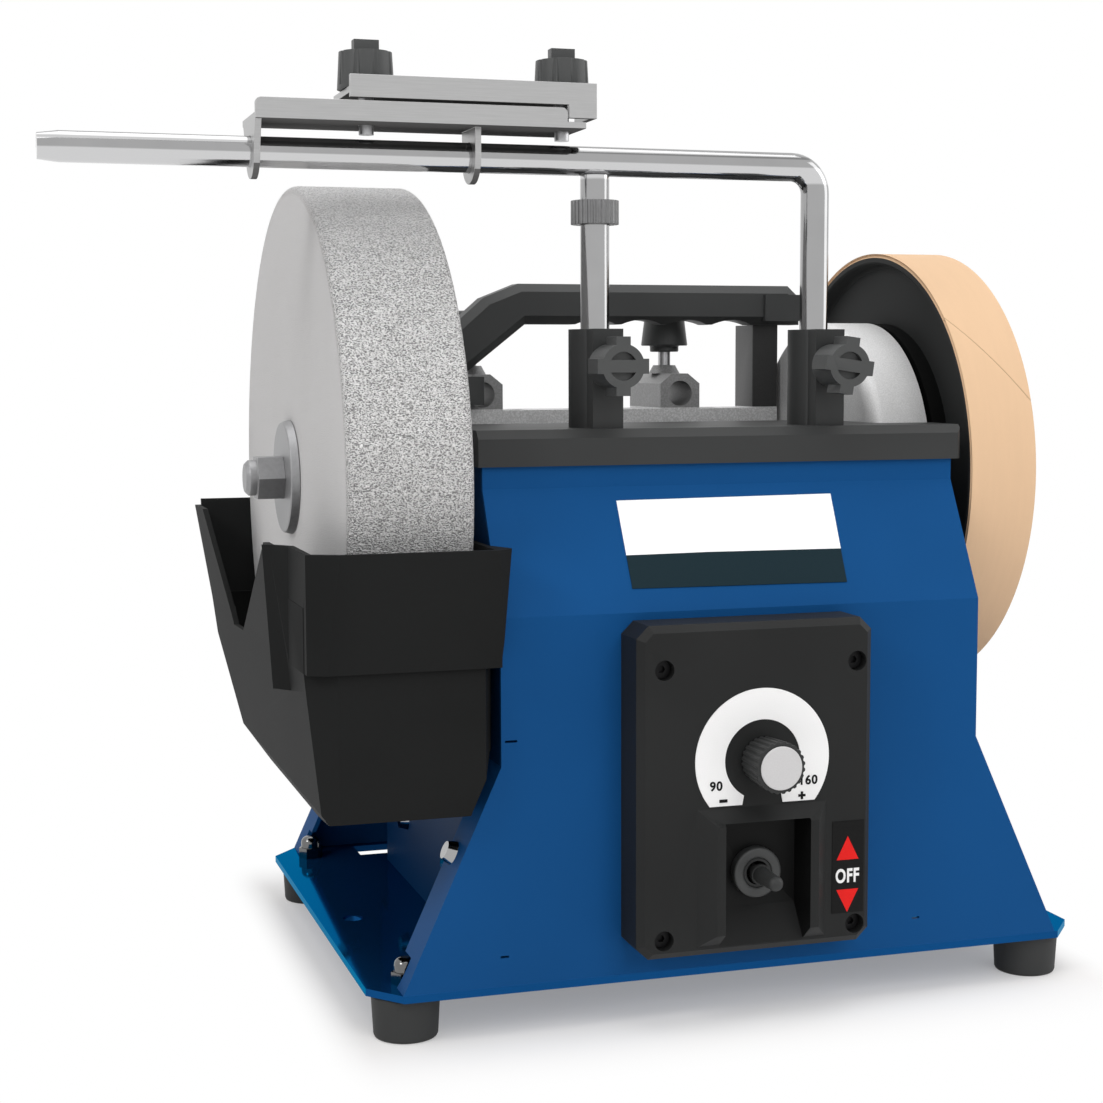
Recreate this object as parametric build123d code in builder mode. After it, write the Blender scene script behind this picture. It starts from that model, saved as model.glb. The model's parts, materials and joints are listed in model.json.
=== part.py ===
from build123d import *
import os

os.makedirs("parts", exist_ok=True)

# Millimetres. The pieces are drawn from the middle of the base plate on the bench, +X along the
# shaft towards the honing wheel, -Y the front with the controls, +Z up. At the end all of them
# are moved together so that the origin is the middle of the machine's whole box, on the bench.

# Shared clearances
run_gap = 0.05
fit_gap = 0.1
move_gap = 0.4

# Housing of bent sheet
sheet = 2.0
base_sheet = 3.0
axis_height = 217.0
foot_height = 18.0
foot_radius = 13.9
foot_taper = 1.0
foot_inset_x = 16.6
foot_inset_right = 18.4
foot_inset_y = 17.0
foot_inset_rear = 21.0
foot_bolt = 9.0
base_length = 314.0
base_depth = 248.0
corner_cut_x = 12.5
corner_cut_y = 14.5
body_width = 208.0
body_left = -105.0
neck_depth = 197.0
shoulder_low_drop = 49.4
shoulder_high_drop = 0.8
flare_drop = 108.0
flare_spread = 40.0
flange_depth = 20.0
right_wall_inset = 33.0
tab_height = 50.0
tab_length = 130.0
wall_screw_y = 42.0

# Black cover with the upright sleeves
cover_rise = 22.6
cover_lip_height = 14.6
cover_wall = 3.0
lip_wall = 2.0
cover_bevel = 3.5
cover_step_y = -18.0
cover_step = 8.2
leg_diameter = 12.0
leg_spacing = 98.8
leg_middle_x = -0.83
leg_inset = 22.5
sleeve_radius = 11.0
sleeve_height = 40.4
boss_width = 13.0
boss_reach = 17.0
clamp_drop = 15.2
stud_diameter = 6.0
cover_overhang = 2.0
bay_gap = 1.5

# Grindstone, spindle and wheels
stone_diameter = 250.0
stone_width = 50.0
stone_gap = 9.75
stone_bevel = 1.5
shaft_diameter = 16.0
shaft_end_diameter = 12.0
flange_diameter = 50.0
flange_thickness = 4.0
nut_across_flats = 18.0
nut_length = 11.5
cap_radius = 7.7
cap_length = 4.8
bush_radius = 10.5
bush_flange_radius = 11.3
bush_length = 17.0
drum_diameter = 135.0
drum_width = 26.8
drum_gap = 13.2
drum_wall = 8.0
drum_web = 6.0
drum_shoulder = 6.0
honing_gap = 2.75
honing_diameter = 200.0
honing_width = 31.0
strop_thickness = 1.8
honing_web = 11.0
hub_radius = 18.0
honing_knob_radius = 22.5
honing_knob_length = 18.0

# Motor and its sprung hinge
roller_radius = 7.0
motor_radius = 38.0
motor_length = 95.0
motor_shaft_diameter = 8.0
motor_shaft_grip = 30.0
bracket_sheet = 3.0
hinge_y = 80.0
hinge_pin_diameter = 6.0
hinge_barrel_radius = 5.0
spring_radius = 8.0
spring_wire = 2.0
spring_y = -30.0

# Controls
box_width = 100.2
box_floor_gap = 11.0
box_depth = 20.5
box_middle_x = -5.4
box_top_drop = 52.4
box_wall = 2.5
box_bevel = 2.8
box_corner = 5.0
box_screw_left = 10.8
box_screw_right = 7.2
box_screw_top = 17.4
box_screw_low = 7.7
face_shift = 2.0
dial_share = 0.4133
dial_outer = 28.6
dial_inner = 16.1
dial_gap = 15.6
knob_radius = 9.4
knob_length = 17.2
toggle_share = 0.7685
toggle_shift = 0.4
hood_width = 56.0
hood_rise = 7.0
hood_top_share = 0.5498
hood_bottom_share = 0.9736
pocket_width = 36.2
pocket_depth = 9.0
collar_radius = 10.2
lever_radius = 2.4
lever_hub_radius = 4.1
lever_tip_radius = 3.1
lever_length = 27.5
board_width = 62.0
board_height = 34.0

# Tool support and its jig
bar_rise = 131.4
bar_left_reach = 107.4
bar_bend = 11.0
leg_tail = 15.0
weld_seat = 0.35
adjust_radius = 9.9
adjust_height = 9.7
adjust_rise = 105.8
star_radius = 8.9
star_lug_radius = 11.8
star_bar_radius = 10.8
star_lug_width = 6.0
star_lug_length = 12.5
star_length = 18.0
jig_left = -27.0
jig_right = 97.7
jig_sheet = 2.5
jig_rise = 142.6
jig_lip = 8.0
jig_depth = 34.0
jig_screw_inset = 1.5
jig_screw_diameter = 6.0
jig_screw_left = 18.9
jig_screw_spacing = 80.9
jig_knob_radius = 11.3
jig_knob_height = 14.5

# Rear casting and carrying handle
casting_front = 36.0
casting_depth = 30.0
casting_height = 12.8
rear_middle_x = -18.85
rear_bore_rise = 34.5
rear_block_width = 20.0
rear_block_length = 44.0
rear_block_top = 44.0
rear_knob_radius = 11.4
rear_knob_height = 16.5
rear_knob_rise = 57.5
post_left = 68.35
post_width = 12.9
post_depth = 22.0
handle_rise = 86.0
handle_thick = 18.7
handle_width = 18.0
handle_front = 28.0
handle_bevel = 3.8
handle_end_length = 18.0
handle_end_height = 12.6
handle_end_rise = 2.0
scallop_radius = 24.0
scallop_pitch = 23.0
scallop_depth = 2.2

# Water trough
trough_wall = 2.5
trough_rim_drop = 21.5
trough_step_drop = 67.0
trough_floor_gap = 10.0
trough_front_gap = 12.0
trough_rear_gap = 22.6
trough_left_reach = 24.0
trough_right_gap = 7.5
rail_length = 112.0
rail_height = 18.0
hanger_thickness = 2.0

# Places worked out from the sizes above
axis_z = axis_height
base_z = foot_height
floor_z = base_z + base_sheet
front_y = base_depth / 2
neck_y = neck_depth / 2
body_right = body_left + body_width
shoulder_low = axis_z - shoulder_low_drop
shoulder_high = axis_z - shoulder_high_drop
flare_z = axis_z - flare_drop
cover_top = axis_z + cover_rise
shelf_top = cover_top - cover_step
front_seat = cover_top - cover_wall
rear_seat = shelf_top - cover_wall
lip_z = cover_top - cover_lip_height
stone_radius = stone_diameter / 2
stone_right = body_left - stone_gap
stone_left = stone_right - stone_width
wall_right = body_right - right_wall_inset
drum_radius = drum_diameter / 2
drum_left = wall_right + drum_gap
drum_right = drum_left + drum_width
honing_left = drum_right + honing_gap
honing_right = honing_left + honing_width
honing_radius = honing_diameter / 2
motor_z = axis_z - drum_radius - roller_radius - move_gap / 2
leg_radius = leg_diameter / 2
leg_y = -neck_y + leg_inset
jig_screw_y = leg_y - jig_screw_inset
leg_left_x = leg_middle_x - leg_spacing / 2
leg_right_x = leg_middle_x + leg_spacing / 2
leg_points = [(leg_left_x, leg_y), (leg_right_x, leg_y)]
sleeve_top = cover_top + sleeve_height
clamp_z = sleeve_top - clamp_drop
bar_z = axis_z + bar_rise
rear_left_x = rear_middle_x - leg_spacing / 2
rear_right_x = rear_middle_x + leg_spacing / 2
casting_top = shelf_top + casting_height
rear_bore_z = axis_z + rear_bore_rise
block_top = axis_z + rear_block_top
knob_base_z = axis_z + rear_knob_rise
handle_top = axis_z + handle_rise
handle_under = handle_top - handle_thick
box_top = axis_z - box_top_drop
box_bottom = floor_z + box_floor_gap
box_height = box_top - box_bottom
box_front = front_y + box_depth
dial_z = box_top - box_height * dial_share
toggle_z = box_top - box_height * toggle_share
hood_top = box_top - box_height * hood_top_share
hood_bottom = box_top - box_height * hood_bottom_share
pocket_floor = box_front - pocket_depth
dials_x = box_middle_x + face_shift
toggle_x = dials_x + toggle_shift
foot_points = []
for foot_x in (-base_length / 2 + foot_inset_x, base_length / 2 - foot_inset_right):
    for foot_y in (-front_y + foot_inset_y, front_y - foot_inset_rear):
        foot_points.append((foot_x, foot_y))


pieces = {}


def save(builder, name):
    """Keep the finished piece under its name until all of them are drawn."""
    pieces[name] = builder.part


# Base plate: sheet floor with cut corners, two upstand tabs, a slot and the holes for the feet
with BuildPart() as base_plate:
    half_x = base_length / 2
    with BuildSketch(Plane.XY.offset(base_z)):
        Polygon(
            (-half_x + corner_cut_x, -front_y),
            (half_x - corner_cut_x, -front_y),
            (half_x, -front_y + corner_cut_y),
            (half_x, front_y - corner_cut_y),
            (half_x - corner_cut_x, front_y),
            (-half_x + corner_cut_x, front_y),
            (-half_x, front_y - corner_cut_y),
            (-half_x, -front_y + corner_cut_y),
            align=None,
        )
        with Locations(*foot_points):
            Circle(stud_diameter / 2 + fit_gap, mode=Mode.SUBTRACT)
        with Locations((-half_x + 15, -10.9)):
            Circle(4.5, mode=Mode.SUBTRACT)
        with Locations((body_left + sheet / 2, front_y - 16.5)):
            Rectangle(24, 18, mode=Mode.SUBTRACT)
    extrude(amount=base_sheet)
    with BuildSketch(Plane.XY.offset(floor_z)):
        for tab_x in (body_left + 1.5 * sheet, wall_right - 1.5 * sheet):
            with Locations((tab_x, 0)):
                Rectangle(sheet, tab_length)
    extrude(amount=tab_height)
    tab_hole_z = floor_z + tab_height * 0.6
    with BuildSketch(Plane.YZ.offset(-half_x)):
        with Locations((-wall_screw_y, tab_hole_z), (wall_screw_y, tab_hole_z)):
            Circle(2.5 + fit_gap)
    extrude(amount=base_length, mode=Mode.SUBTRACT)
save(base_plate, "base_plate")

# Front and rear panels: one bent sheet each, flared at the foot, with inward flanges
flare_slope = flare_spread / (flare_z - floor_z)
flange_low = floor_z
flange_screw_z = floor_z + 52
flange_screw_y = front_y - flange_depth + 6.5
for panel_name, side in (("front_panel", -1), ("rear_panel", 1)):
    panel_top = front_seat if side < 0 else rear_seat
    flare_left = body_left - flare_spread
    flare_right = body_right + flare_spread
    # The sheet stands on the base plate's edge line; its thickness is taken inwards
    outer = [
        (side * front_y, floor_z),
        (side * front_y, shoulder_low),
        (side * neck_y, shoulder_high),
        (side * neck_y, panel_top),
    ]
    inner = [(y - side * sheet, z) for y, z in reversed(outer)]
    with BuildPart() as panel:
        with BuildSketch(Plane.YZ.offset(flare_left)):
            Polygon(*outer, *inner, align=None)
        extrude(amount=flare_right - flare_left)
        with BuildSketch(Plane.XZ):
            Polygon(
                (flare_left, floor_z),
                (flare_right, floor_z),
                (body_right, flare_z),
                (body_right, panel_top),
                (body_left, panel_top),
                (body_left, flare_z),
                align=None,
            )
        extrude(amount=base_depth, both=True, mode=Mode.INTERSECT)
        with BuildSketch(Plane.XZ.offset(-side * front_y)):
            Polygon(
                (body_left - flare_slope * (flare_z - flange_low), flange_low),
                (body_left - flare_slope * (flare_z - flange_low) + 1.1 * sheet, flange_low),
                (body_left + 1.1 * sheet, flare_z),
                (body_left, flare_z),
                align=None,
            )
            Polygon(
                (body_right + flare_slope * (flare_z - flange_low), flange_low),
                (body_right + flare_slope * (flare_z - flange_low) - 1.1 * sheet, flange_low),
                (body_right - 1.1 * sheet, flare_z),
                (body_right, flare_z),
                align=None,
            )
            Polygon(
                (body_right - sheet, flare_z - sheet),
                (body_right, flare_z),
                (body_right, shoulder_low),
                (body_right - sheet, shoulder_low),
                align=None,
            )
        extrude(amount=side * flange_depth)
        with BuildSketch(Plane.XY.offset(floor_z)):
            with Locations(*foot_points):
                Circle(7)
        extrude(amount=12, mode=Mode.SUBTRACT)
        if side < 0:
            with BuildSketch(Plane.XZ.offset(front_y)):
                with Locations((box_middle_x, (dial_z + toggle_z) / 2 - 8)):
                    Rectangle(box_width / 2, box_height * 0.55)
                with Locations((body_left + 1, floor_z + 12), (body_right - flange_depth - 7, floor_z + 12)):
                    Rectangle(3.5, 0.9)
                with Locations((body_left + 4, flare_z + 10)):
                    Rectangle(5, 0.9)
                for hole_x in (-box_width / 2 + box_screw_left, box_width / 2 - box_screw_right):
                    for hole_z in (box_top - box_screw_top, box_bottom + box_screw_low):
                        with Locations((box_middle_x + hole_x, hole_z)):
                            Circle(2.0 + fit_gap)
            extrude(amount=-2 * sheet, mode=Mode.SUBTRACT)
        else:
            with BuildSketch(Plane.XZ.offset(-front_y)):
                with Locations((body_left + 45, floor_z + 40)):
                    Circle(7.5 + fit_gap)
            extrude(amount=2 * sheet, mode=Mode.SUBTRACT)
        for way, edge_x in ((-1, body_left), (1, body_right)):
            screw_x = edge_x + way * flare_slope * (flare_z - flange_screw_z)
            screw_plane = Plane((screw_x, side * flange_screw_y, flange_screw_z), z_dir=(way, 0, flare_slope))
            with BuildSketch(screw_plane):
                Circle(2.5 + fit_gap)
            extrude(amount=3 * sheet, both=True, mode=Mode.SUBTRACT)
    save(panel, panel_name)

# Side panels: sheet walls with the shaft's bush, the hinge pin and the fixing holes
hinge_z = motor_z - motor_radius - fit_gap - bracket_sheet / 2
hanger_top = axis_z - trough_rim_drop - trough_wall
rail_z = hanger_top - rail_height / 2
for wall_name, wall_x in (("left_side_panel", body_left), ("right_side_panel", wall_right - sheet)):
    low_y = front_y - flange_depth - fit_gap
    mid_y = front_y - sheet
    top_y = neck_y - sheet
    step_y = cover_step_y - cover_wall - fit_gap
    with BuildPart() as wall:
        with BuildSketch(Plane.YZ.offset(wall_x)):
            Polygon(
                (-low_y, floor_z),
                (low_y - 18, floor_z),
                (low_y - 18, floor_z + 26),
                (low_y, floor_z + 26),
                (low_y, flare_z + fit_gap),
                (mid_y, flare_z + fit_gap),
                (mid_y, shoulder_low),
                (top_y, shoulder_high),
                (top_y, rear_seat),
                (step_y, rear_seat),
                (step_y, front_seat),
                (-top_y, front_seat),
                (-top_y, shoulder_high),
                (-mid_y, shoulder_low),
                (-mid_y, flare_z + fit_gap),
                (-low_y, flare_z + fit_gap),
                align=None,
            )
            with Locations((0, axis_z)):
                Circle(bush_radius, mode=Mode.SUBTRACT)
            with Locations((hinge_y, hinge_z)):
                Circle(hinge_pin_diameter / 2 + 0.02, mode=Mode.SUBTRACT)
            with Locations((-wall_screw_y, tab_hole_z), (wall_screw_y, tab_hole_z)):
                Circle(2.5 + fit_gap, mode=Mode.SUBTRACT)
            if wall_x > 0:
                with Locations((0, motor_z - 1)):
                    Circle(motor_shaft_diameter / 2 + 5, mode=Mode.SUBTRACT)
            else:
                with Locations((-wall_screw_y, rail_z), (wall_screw_y, rail_z)):
                    Circle(2.5 + fit_gap, mode=Mode.SUBTRACT)
        extrude(amount=sheet)
    save(wall, wall_name)

# Rubber feet and the cap nuts that hold them
with BuildPart() as feet:
    with Locations(*[(x, y, 0) for x, y in foot_points]):
        Cone(
            foot_radius - foot_taper,
            foot_radius,
            foot_height,
            align=(Align.CENTER, Align.CENTER, Align.MIN),
        )
    with BuildSketch(Plane.XY.offset(foot_height)):
        with Locations(*foot_points):
            Circle(stud_diameter / 2 + fit_gap)
    extrude(amount=-foot_bolt - 1, mode=Mode.SUBTRACT)
save(feet, "feet")

with BuildPart() as foot_nuts:
    with BuildSketch(Plane.XY.offset(foot_height - foot_bolt)):
        with Locations(*foot_points):
            Circle(stud_diameter / 2)
    extrude(amount=foot_bolt + base_sheet)
    with BuildSketch(Plane.XY.offset(floor_z)):
        with Locations(*foot_points):
            RegularPolygon(5.0, 6, major_radius=False)
    extrude(amount=5)
    with BuildSketch(Plane.XY.offset(floor_z + 5)):
        with Locations(*foot_points):
            Circle(4.6)
    extrude(amount=5.5)
    fillet(foot_nuts.faces().group_by(Axis.Z)[-1].edges(), 3.2)
save(foot_nuts, "foot_nuts")

# Trough rail on the left wall
with BuildPart() as trough_hanger:
    with BuildSketch(Plane.YZ.offset(body_left - hanger_thickness)):
        with Locations((0, rail_z)):
            Rectangle(rail_length, rail_height)
        with Locations((-wall_screw_y, rail_z), (wall_screw_y, rail_z)):
            Circle(2.5 + fit_gap, mode=Mode.SUBTRACT)
    extrude(amount=hanger_thickness)
save(trough_hanger, "trough_hanger")

# Dome-headed screws of the walls, the rail and the flanges; the rail's two have their heads inside
screw_seats = []
for screw_y in (-wall_screw_y, wall_screw_y):
    screw_seats.append((Plane((body_left, screw_y, tab_hole_z), z_dir=(-1, 0, 0)), 2 * sheet + 3))
    screw_seats.append((Plane((wall_right, screw_y, tab_hole_z), z_dir=(1, 0, 0)), 2 * sheet + 3))
    rail_seat = Plane((body_left + sheet, screw_y, rail_z), z_dir=(1, 0, 0))
    screw_seats.append((rail_seat, sheet + hanger_thickness))
for way, edge_x in ((-1, body_left), (1, body_right)):
    screw_x = edge_x + way * flare_slope * (flare_z - flange_screw_z)
    for side in (-1, 1):
        seat = Plane((screw_x, side * flange_screw_y, flange_screw_z), z_dir=(way, 0, flare_slope))
        screw_seats.append((seat, sheet + 5))
with BuildPart() as panel_screws:
    for seat, reach in screw_seats:
        with BuildSketch(seat):
            Circle(2.5)
        extrude(amount=-reach)
        with BuildSketch(seat):
            Circle(5.0)
        extrude(amount=3.8, taper=20)
save(panel_screws, "panel_screws")

# Top cover: stepped hood with a lip all round, a bay for the drum, two upright sleeves
casting_screw_xs = [rear_left_x + 20.5, rear_middle_x, rear_right_x - 20.5, rear_right_x + 19.8]
casting_screw_y = casting_front + casting_depth * 0.55
casting_screw_sink = 4.2
with BuildPart() as top_cover:
    lip_y = neck_y + fit_gap + lip_wall
    cover_left = body_left - fit_gap - lip_wall
    cover_right = body_right + fit_gap + lip_wall + cover_overhang
    in_y = neck_y + fit_gap
    with BuildSketch(Plane.YZ.offset(cover_left)):
        Polygon(
            (-lip_y, lip_z),
            (-lip_y, cover_top - cover_bevel),
            (-lip_y + cover_bevel, cover_top),
            (cover_step_y, cover_top),
            (cover_step_y, shelf_top),
            (lip_y - cover_bevel, shelf_top),
            (lip_y, shelf_top - cover_bevel),
            (lip_y, lip_z),
            align=None,
        )
    extrude(amount=cover_right - cover_left)
    with BuildSketch(Plane.YZ.offset(cover_left + lip_wall)):
        Polygon(
            (-in_y, lip_z),
            (-in_y, front_seat),
            (cover_step_y - cover_wall, front_seat),
            (cover_step_y - cover_wall, rear_seat),
            (in_y, rear_seat),
            (in_y, lip_z),
            align=None,
        )
    extrude(amount=body_right + fit_gap - cover_left - lip_wall, mode=Mode.SUBTRACT)
    bay_left = drum_left - bay_gap
    with BuildSketch(Plane.XY.offset(lip_z)):
        with Locations(((bay_left + cover_right + 10) / 2, 0)):
            Rectangle(cover_right + 10 - bay_left, 2 * drum_radius + 9)
    extrude(amount=cover_lip_height + 1, mode=Mode.SUBTRACT)
    with BuildSketch(Plane.YZ.offset(cover_left - 1)):
        with Locations((0, axis_z)):
            Circle(bush_flange_radius + 0.6)
    extrude(amount=lip_wall + 1 + fit_gap, mode=Mode.SUBTRACT)
    end_edges = top_cover.edges().filter_by(Axis.Z).group_by(Axis.X)[-1]
    chamfer(end_edges.sort_by(Axis.Y)[0], 2.0)
    with BuildSketch(Plane.XY.offset(front_seat)):
        with Locations(*leg_points):
            Circle(sleeve_radius)
        with Locations(*[(x, y - boss_reach / 2) for x, y in leg_points]):
            Rectangle(boss_width, boss_reach)
    extrude(amount=sleeve_height + cover_wall)
    with BuildSketch(Plane.XY.offset(front_seat - 1)):
        with Locations(*leg_points):
            Circle(leg_radius + run_gap)
    extrude(amount=sleeve_height + cover_wall + 2, mode=Mode.SUBTRACT)
    with BuildSketch(Plane.XZ.offset(-leg_y)):
        with Locations((leg_left_x, clamp_z), (leg_right_x, clamp_z)):
            Circle(stud_diameter / 2 + run_gap)
    extrude(amount=boss_reach + 1, mode=Mode.SUBTRACT)
    with BuildSketch(Plane.XY.offset(lip_z)):
        with Locations(*[(x, casting_screw_y) for x in casting_screw_xs]):
            Circle(2.5 + fit_gap)
    extrude(amount=cover_lip_height, mode=Mode.SUBTRACT)
save(top_cover, "top_cover")

# Rear casting: foot on the cover's shelf, two level sleeve blocks with bosses, the handle's post
casting_left = body_left + 4
handle_foot_x = casting_left + 11
handle_post_x = post_left + post_width * 0.5
handle_screw_y = handle_front + handle_width * 0.72
stud_y = casting_front + rear_block_length / 2
with BuildPart() as rear_sleeve_casting:
    casting_right = post_left + post_width
    with BuildSketch(Plane.XY.offset(shelf_top)):
        with Locations(((casting_left + casting_right) / 2, casting_front + casting_depth / 2)):
            Rectangle(casting_right - casting_left, casting_depth)
    extrude(amount=casting_height)
    for block_x in (rear_left_x, rear_right_x):
        half = rear_block_width / 2
        with BuildSketch(Plane.XZ.offset(-casting_front)):
            Polygon(
                (block_x - half, casting_top - 4),
                (block_x - half, block_top - 4.8),
                (block_x - half + 6, block_top),
                (block_x + half - 6, block_top),
                (block_x + half, block_top - 4.8),
                (block_x + half, casting_top - 4),
                align=None,
            )
        extrude(amount=-rear_block_length)
        with Locations((block_x, stud_y, block_top)):
            Cone(7.6, 5.4, 4, align=(Align.CENTER, Align.CENTER, Align.MIN))
    with BuildSketch(Plane.XY.offset(casting_top)):
        with Locations((post_left + post_width / 2, casting_front + post_depth / 2)):
            Rectangle(post_width, post_depth)
    extrude(amount=handle_under - casting_top)
    with BuildSketch(Plane.XZ.offset(-casting_front)):
        with Locations((rear_left_x, rear_bore_z), (rear_right_x, rear_bore_z)):
            Circle(leg_radius + run_gap)
    extrude(amount=-rear_block_length, mode=Mode.SUBTRACT)
    with BuildSketch(Plane.XY.offset(rear_bore_z)):
        with Locations((rear_left_x, stud_y), (rear_right_x, stud_y)):
            Circle(stud_diameter / 2 + run_gap)
    extrude(amount=40, mode=Mode.SUBTRACT)
    with BuildSketch(Plane.XY.offset(shelf_top)):
        with Locations(*[(x, casting_screw_y) for x in casting_screw_xs]):
            Circle(2.5 + fit_gap)
        with Locations((handle_foot_x, handle_screw_y)):
            Circle(2.5 + fit_gap)
    extrude(amount=casting_height, mode=Mode.SUBTRACT)
    with BuildSketch(Plane.XY.offset(casting_top)):
        with Locations(*[(x, casting_screw_y) for x in casting_screw_xs]):
            Circle(4.5)
    extrude(amount=-casting_screw_sink, mode=Mode.SUBTRACT)
    with BuildSketch(Plane.XY.offset(shelf_top)):
        with Locations((handle_foot_x, handle_screw_y)):
            Circle(4.6)
    extrude(amount=5, mode=Mode.SUBTRACT)
    with BuildSketch(Plane.XY.offset(handle_under)):
        with Locations((handle_post_x, handle_screw_y)):
            Circle(2.5 + fit_gap)
    extrude(amount=-14, mode=Mode.SUBTRACT)
save(rear_sleeve_casting, "rear_sleeve_casting")

with BuildPart() as casting_screws:
    with BuildSketch(Plane.XY.offset(casting_top - casting_screw_sink)):
        with Locations(*[(x, casting_screw_y) for x in casting_screw_xs]):
            Circle(2.5)
    extrude(amount=-(casting_height - casting_screw_sink + cover_wall + 4))
    with BuildSketch(Plane.XY.offset(casting_top - casting_screw_sink)):
        with Locations(*[(x, casting_screw_y) for x in casting_screw_xs]):
            Circle(4.4)
    extrude(amount=4)
save(casting_screws, "casting_screws")

# Carrying handle: bent bar from the casting's left end to the post, grip scallops underneath
with BuildPart() as handle:
    foot_left = casting_left
    foot_right = rear_left_x - rear_block_width / 2 - 0.75
    handle_right = post_left + post_width + 9.25
    grip_left = rear_left_x + 16.5
    with BuildSketch(Plane.XZ.offset(-handle_front)):
        Polygon(
            (handle_right, handle_under),
            (handle_right, handle_top - 5.5),
            (handle_right - 6, handle_top),
            (grip_left, handle_top),
            (grip_left - 16.8, handle_top - 6.6),
            (grip_left - 26.3, handle_top - 14.9),
            (foot_left, handle_top - 34.8),
            (foot_left, casting_top),
            (foot_right, casting_top),
            (foot_right, handle_top - 42.6),
            (grip_left + 3.25, handle_under),
            align=None,
        )
    extrude(amount=-handle_width)
    front_edges = handle.faces().sort_by(Axis.Y)[0].edges()
    rear_edges = handle.faces().sort_by(Axis.Y)[-1].edges()
    chamfer(front_edges + rear_edges, handle_bevel)
    with BuildSketch(Plane.XZ.offset(-handle_front - 1)):
        with Locations(((foot_right - 5 + rear_left_x - 0.9) / 2, casting_top + 9.25)):
            Rectangle(rear_left_x - 0.9 - foot_right + 5, 13.1)
    extrude(amount=-(casting_front - fit_gap - handle_front - 1))
    with BuildSketch(Plane.XZ.offset(-handle_front + handle_end_rise)):
        with Locations((handle_right - 2 - handle_end_length / 2, handle_under + handle_thick * 0.43)):
            Rectangle(handle_end_length, handle_end_height)
    extrude(amount=-handle_end_rise - handle_bevel)
    with BuildSketch(Plane.XZ.offset(-handle_front)):
        for step in range(4):
            scallop_x = grip_left + 38 + step * scallop_pitch
            with Locations((scallop_x, handle_under - scallop_radius + scallop_depth)):
                Circle(scallop_radius)
    extrude(amount=-handle_width, mode=Mode.SUBTRACT)
    with BuildSketch(Plane.XY.offset(handle_under)):
        with Locations((handle_post_x, handle_screw_y)):
            Circle(2.5 + fit_gap)
    extrude(amount=handle_thick, mode=Mode.SUBTRACT)
    with BuildSketch(Plane.XY.offset(handle_top)):
        with Locations((handle_post_x, handle_screw_y)):
            Circle(4.6)
    extrude(amount=-6, mode=Mode.SUBTRACT)
    with BuildSketch(Plane.XY.offset(casting_top)):
        with Locations((handle_foot_x, handle_screw_y)):
            Circle(2.5 + fit_gap)
    extrude(amount=14, mode=Mode.SUBTRACT)
save(handle, "handle")

with BuildPart() as handle_screws:
    for screw_x, seat, way in (
        (handle_post_x, handle_top - 6, -1),
        (handle_foot_x, shelf_top + 5, 1),
    ):
        with BuildSketch(Plane.XY.offset(seat)):
            with Locations((screw_x, handle_screw_y)):
                Circle(2.5)
        extrude(amount=way * (handle_thick + 1))
        with BuildSketch(Plane.XY.offset(seat)):
            with Locations((screw_x, handle_screw_y)):
                Circle(4.4)
        extrude(amount=-way * 4)
save(handle_screws, "handle_screws")

# Clamp knobs of the level sleeves, each on its own threaded stud
for knob_side, knob_x in (("left", rear_left_x), ("right", rear_right_x)):
    with BuildPart() as rear_knob:
        with Locations((knob_x, stud_y, knob_base_z)):
            Cone(
                rear_knob_radius,
                rear_knob_radius * 0.82,
                rear_knob_height,
                align=(Align.CENTER, Align.CENTER, Align.MIN),
            )
            Cylinder(7, 3, align=(Align.CENTER, Align.CENTER, Align.MAX))
        chamfer(rear_knob.faces().sort_by(Axis.Z)[-1].edges(), 1.2)
        with BuildSketch(Plane.XY.offset(knob_base_z - 3)):
            with Locations((knob_x, stud_y)):
                Circle(stud_diameter / 2)
        extrude(amount=13, mode=Mode.SUBTRACT)
    save(rear_knob, f"{knob_side}_rear_knob")
    with BuildPart() as rear_stud:
        with BuildSketch(Plane.XY.offset(rear_bore_z + leg_radius + 0.6)):
            with Locations((knob_x, stud_y)):
                Circle(stud_diameter / 2)
        extrude(amount=knob_base_z + 10 - rear_bore_z - leg_radius - 0.6)
    save(rear_stud, f"{knob_side}_rear_stud")

# Star knobs of the upright sleeves, with the clamp stud moulded in
for knob_side, knob_x, knob_turn in (("left", leg_left_x, 0), ("right", leg_right_x, -8)):
    star_back = -leg_y + boss_reach + 1.0
    with BuildPart() as star_knob:
        with BuildSketch(Plane.XZ.offset(star_back)):
            with Locations((knob_x, clamp_z)):
                Circle(star_radius)
        extrude(amount=star_length)
        with BuildSketch(Plane.XZ.offset(star_back + star_length)):
            with Locations((knob_x, clamp_z)):
                Rectangle(2 * star_bar_radius, star_lug_width, rotation=knob_turn)
                Rectangle(star_lug_width, 2 * star_lug_radius, rotation=knob_turn)
        extrude(amount=-star_lug_length)
        with BuildSketch(Plane.XZ.offset(star_back + star_length)):
            with Locations((knob_x, clamp_z)):
                Circle(star_radius - 3.2)
                Rectangle(4 * star_radius, star_lug_width - 1, rotation=knob_turn, mode=Mode.SUBTRACT)
        extrude(amount=-2.5, mode=Mode.SUBTRACT)
        with BuildSketch(Plane.XZ.offset(-leg_y + leg_radius + 0.4)):
            with Locations((knob_x, clamp_z)):
                Circle(stud_diameter / 2)
        extrude(amount=star_back + leg_y - leg_radius - 0.4)
    save(star_knob, f"{knob_side}_star_knob")

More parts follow.
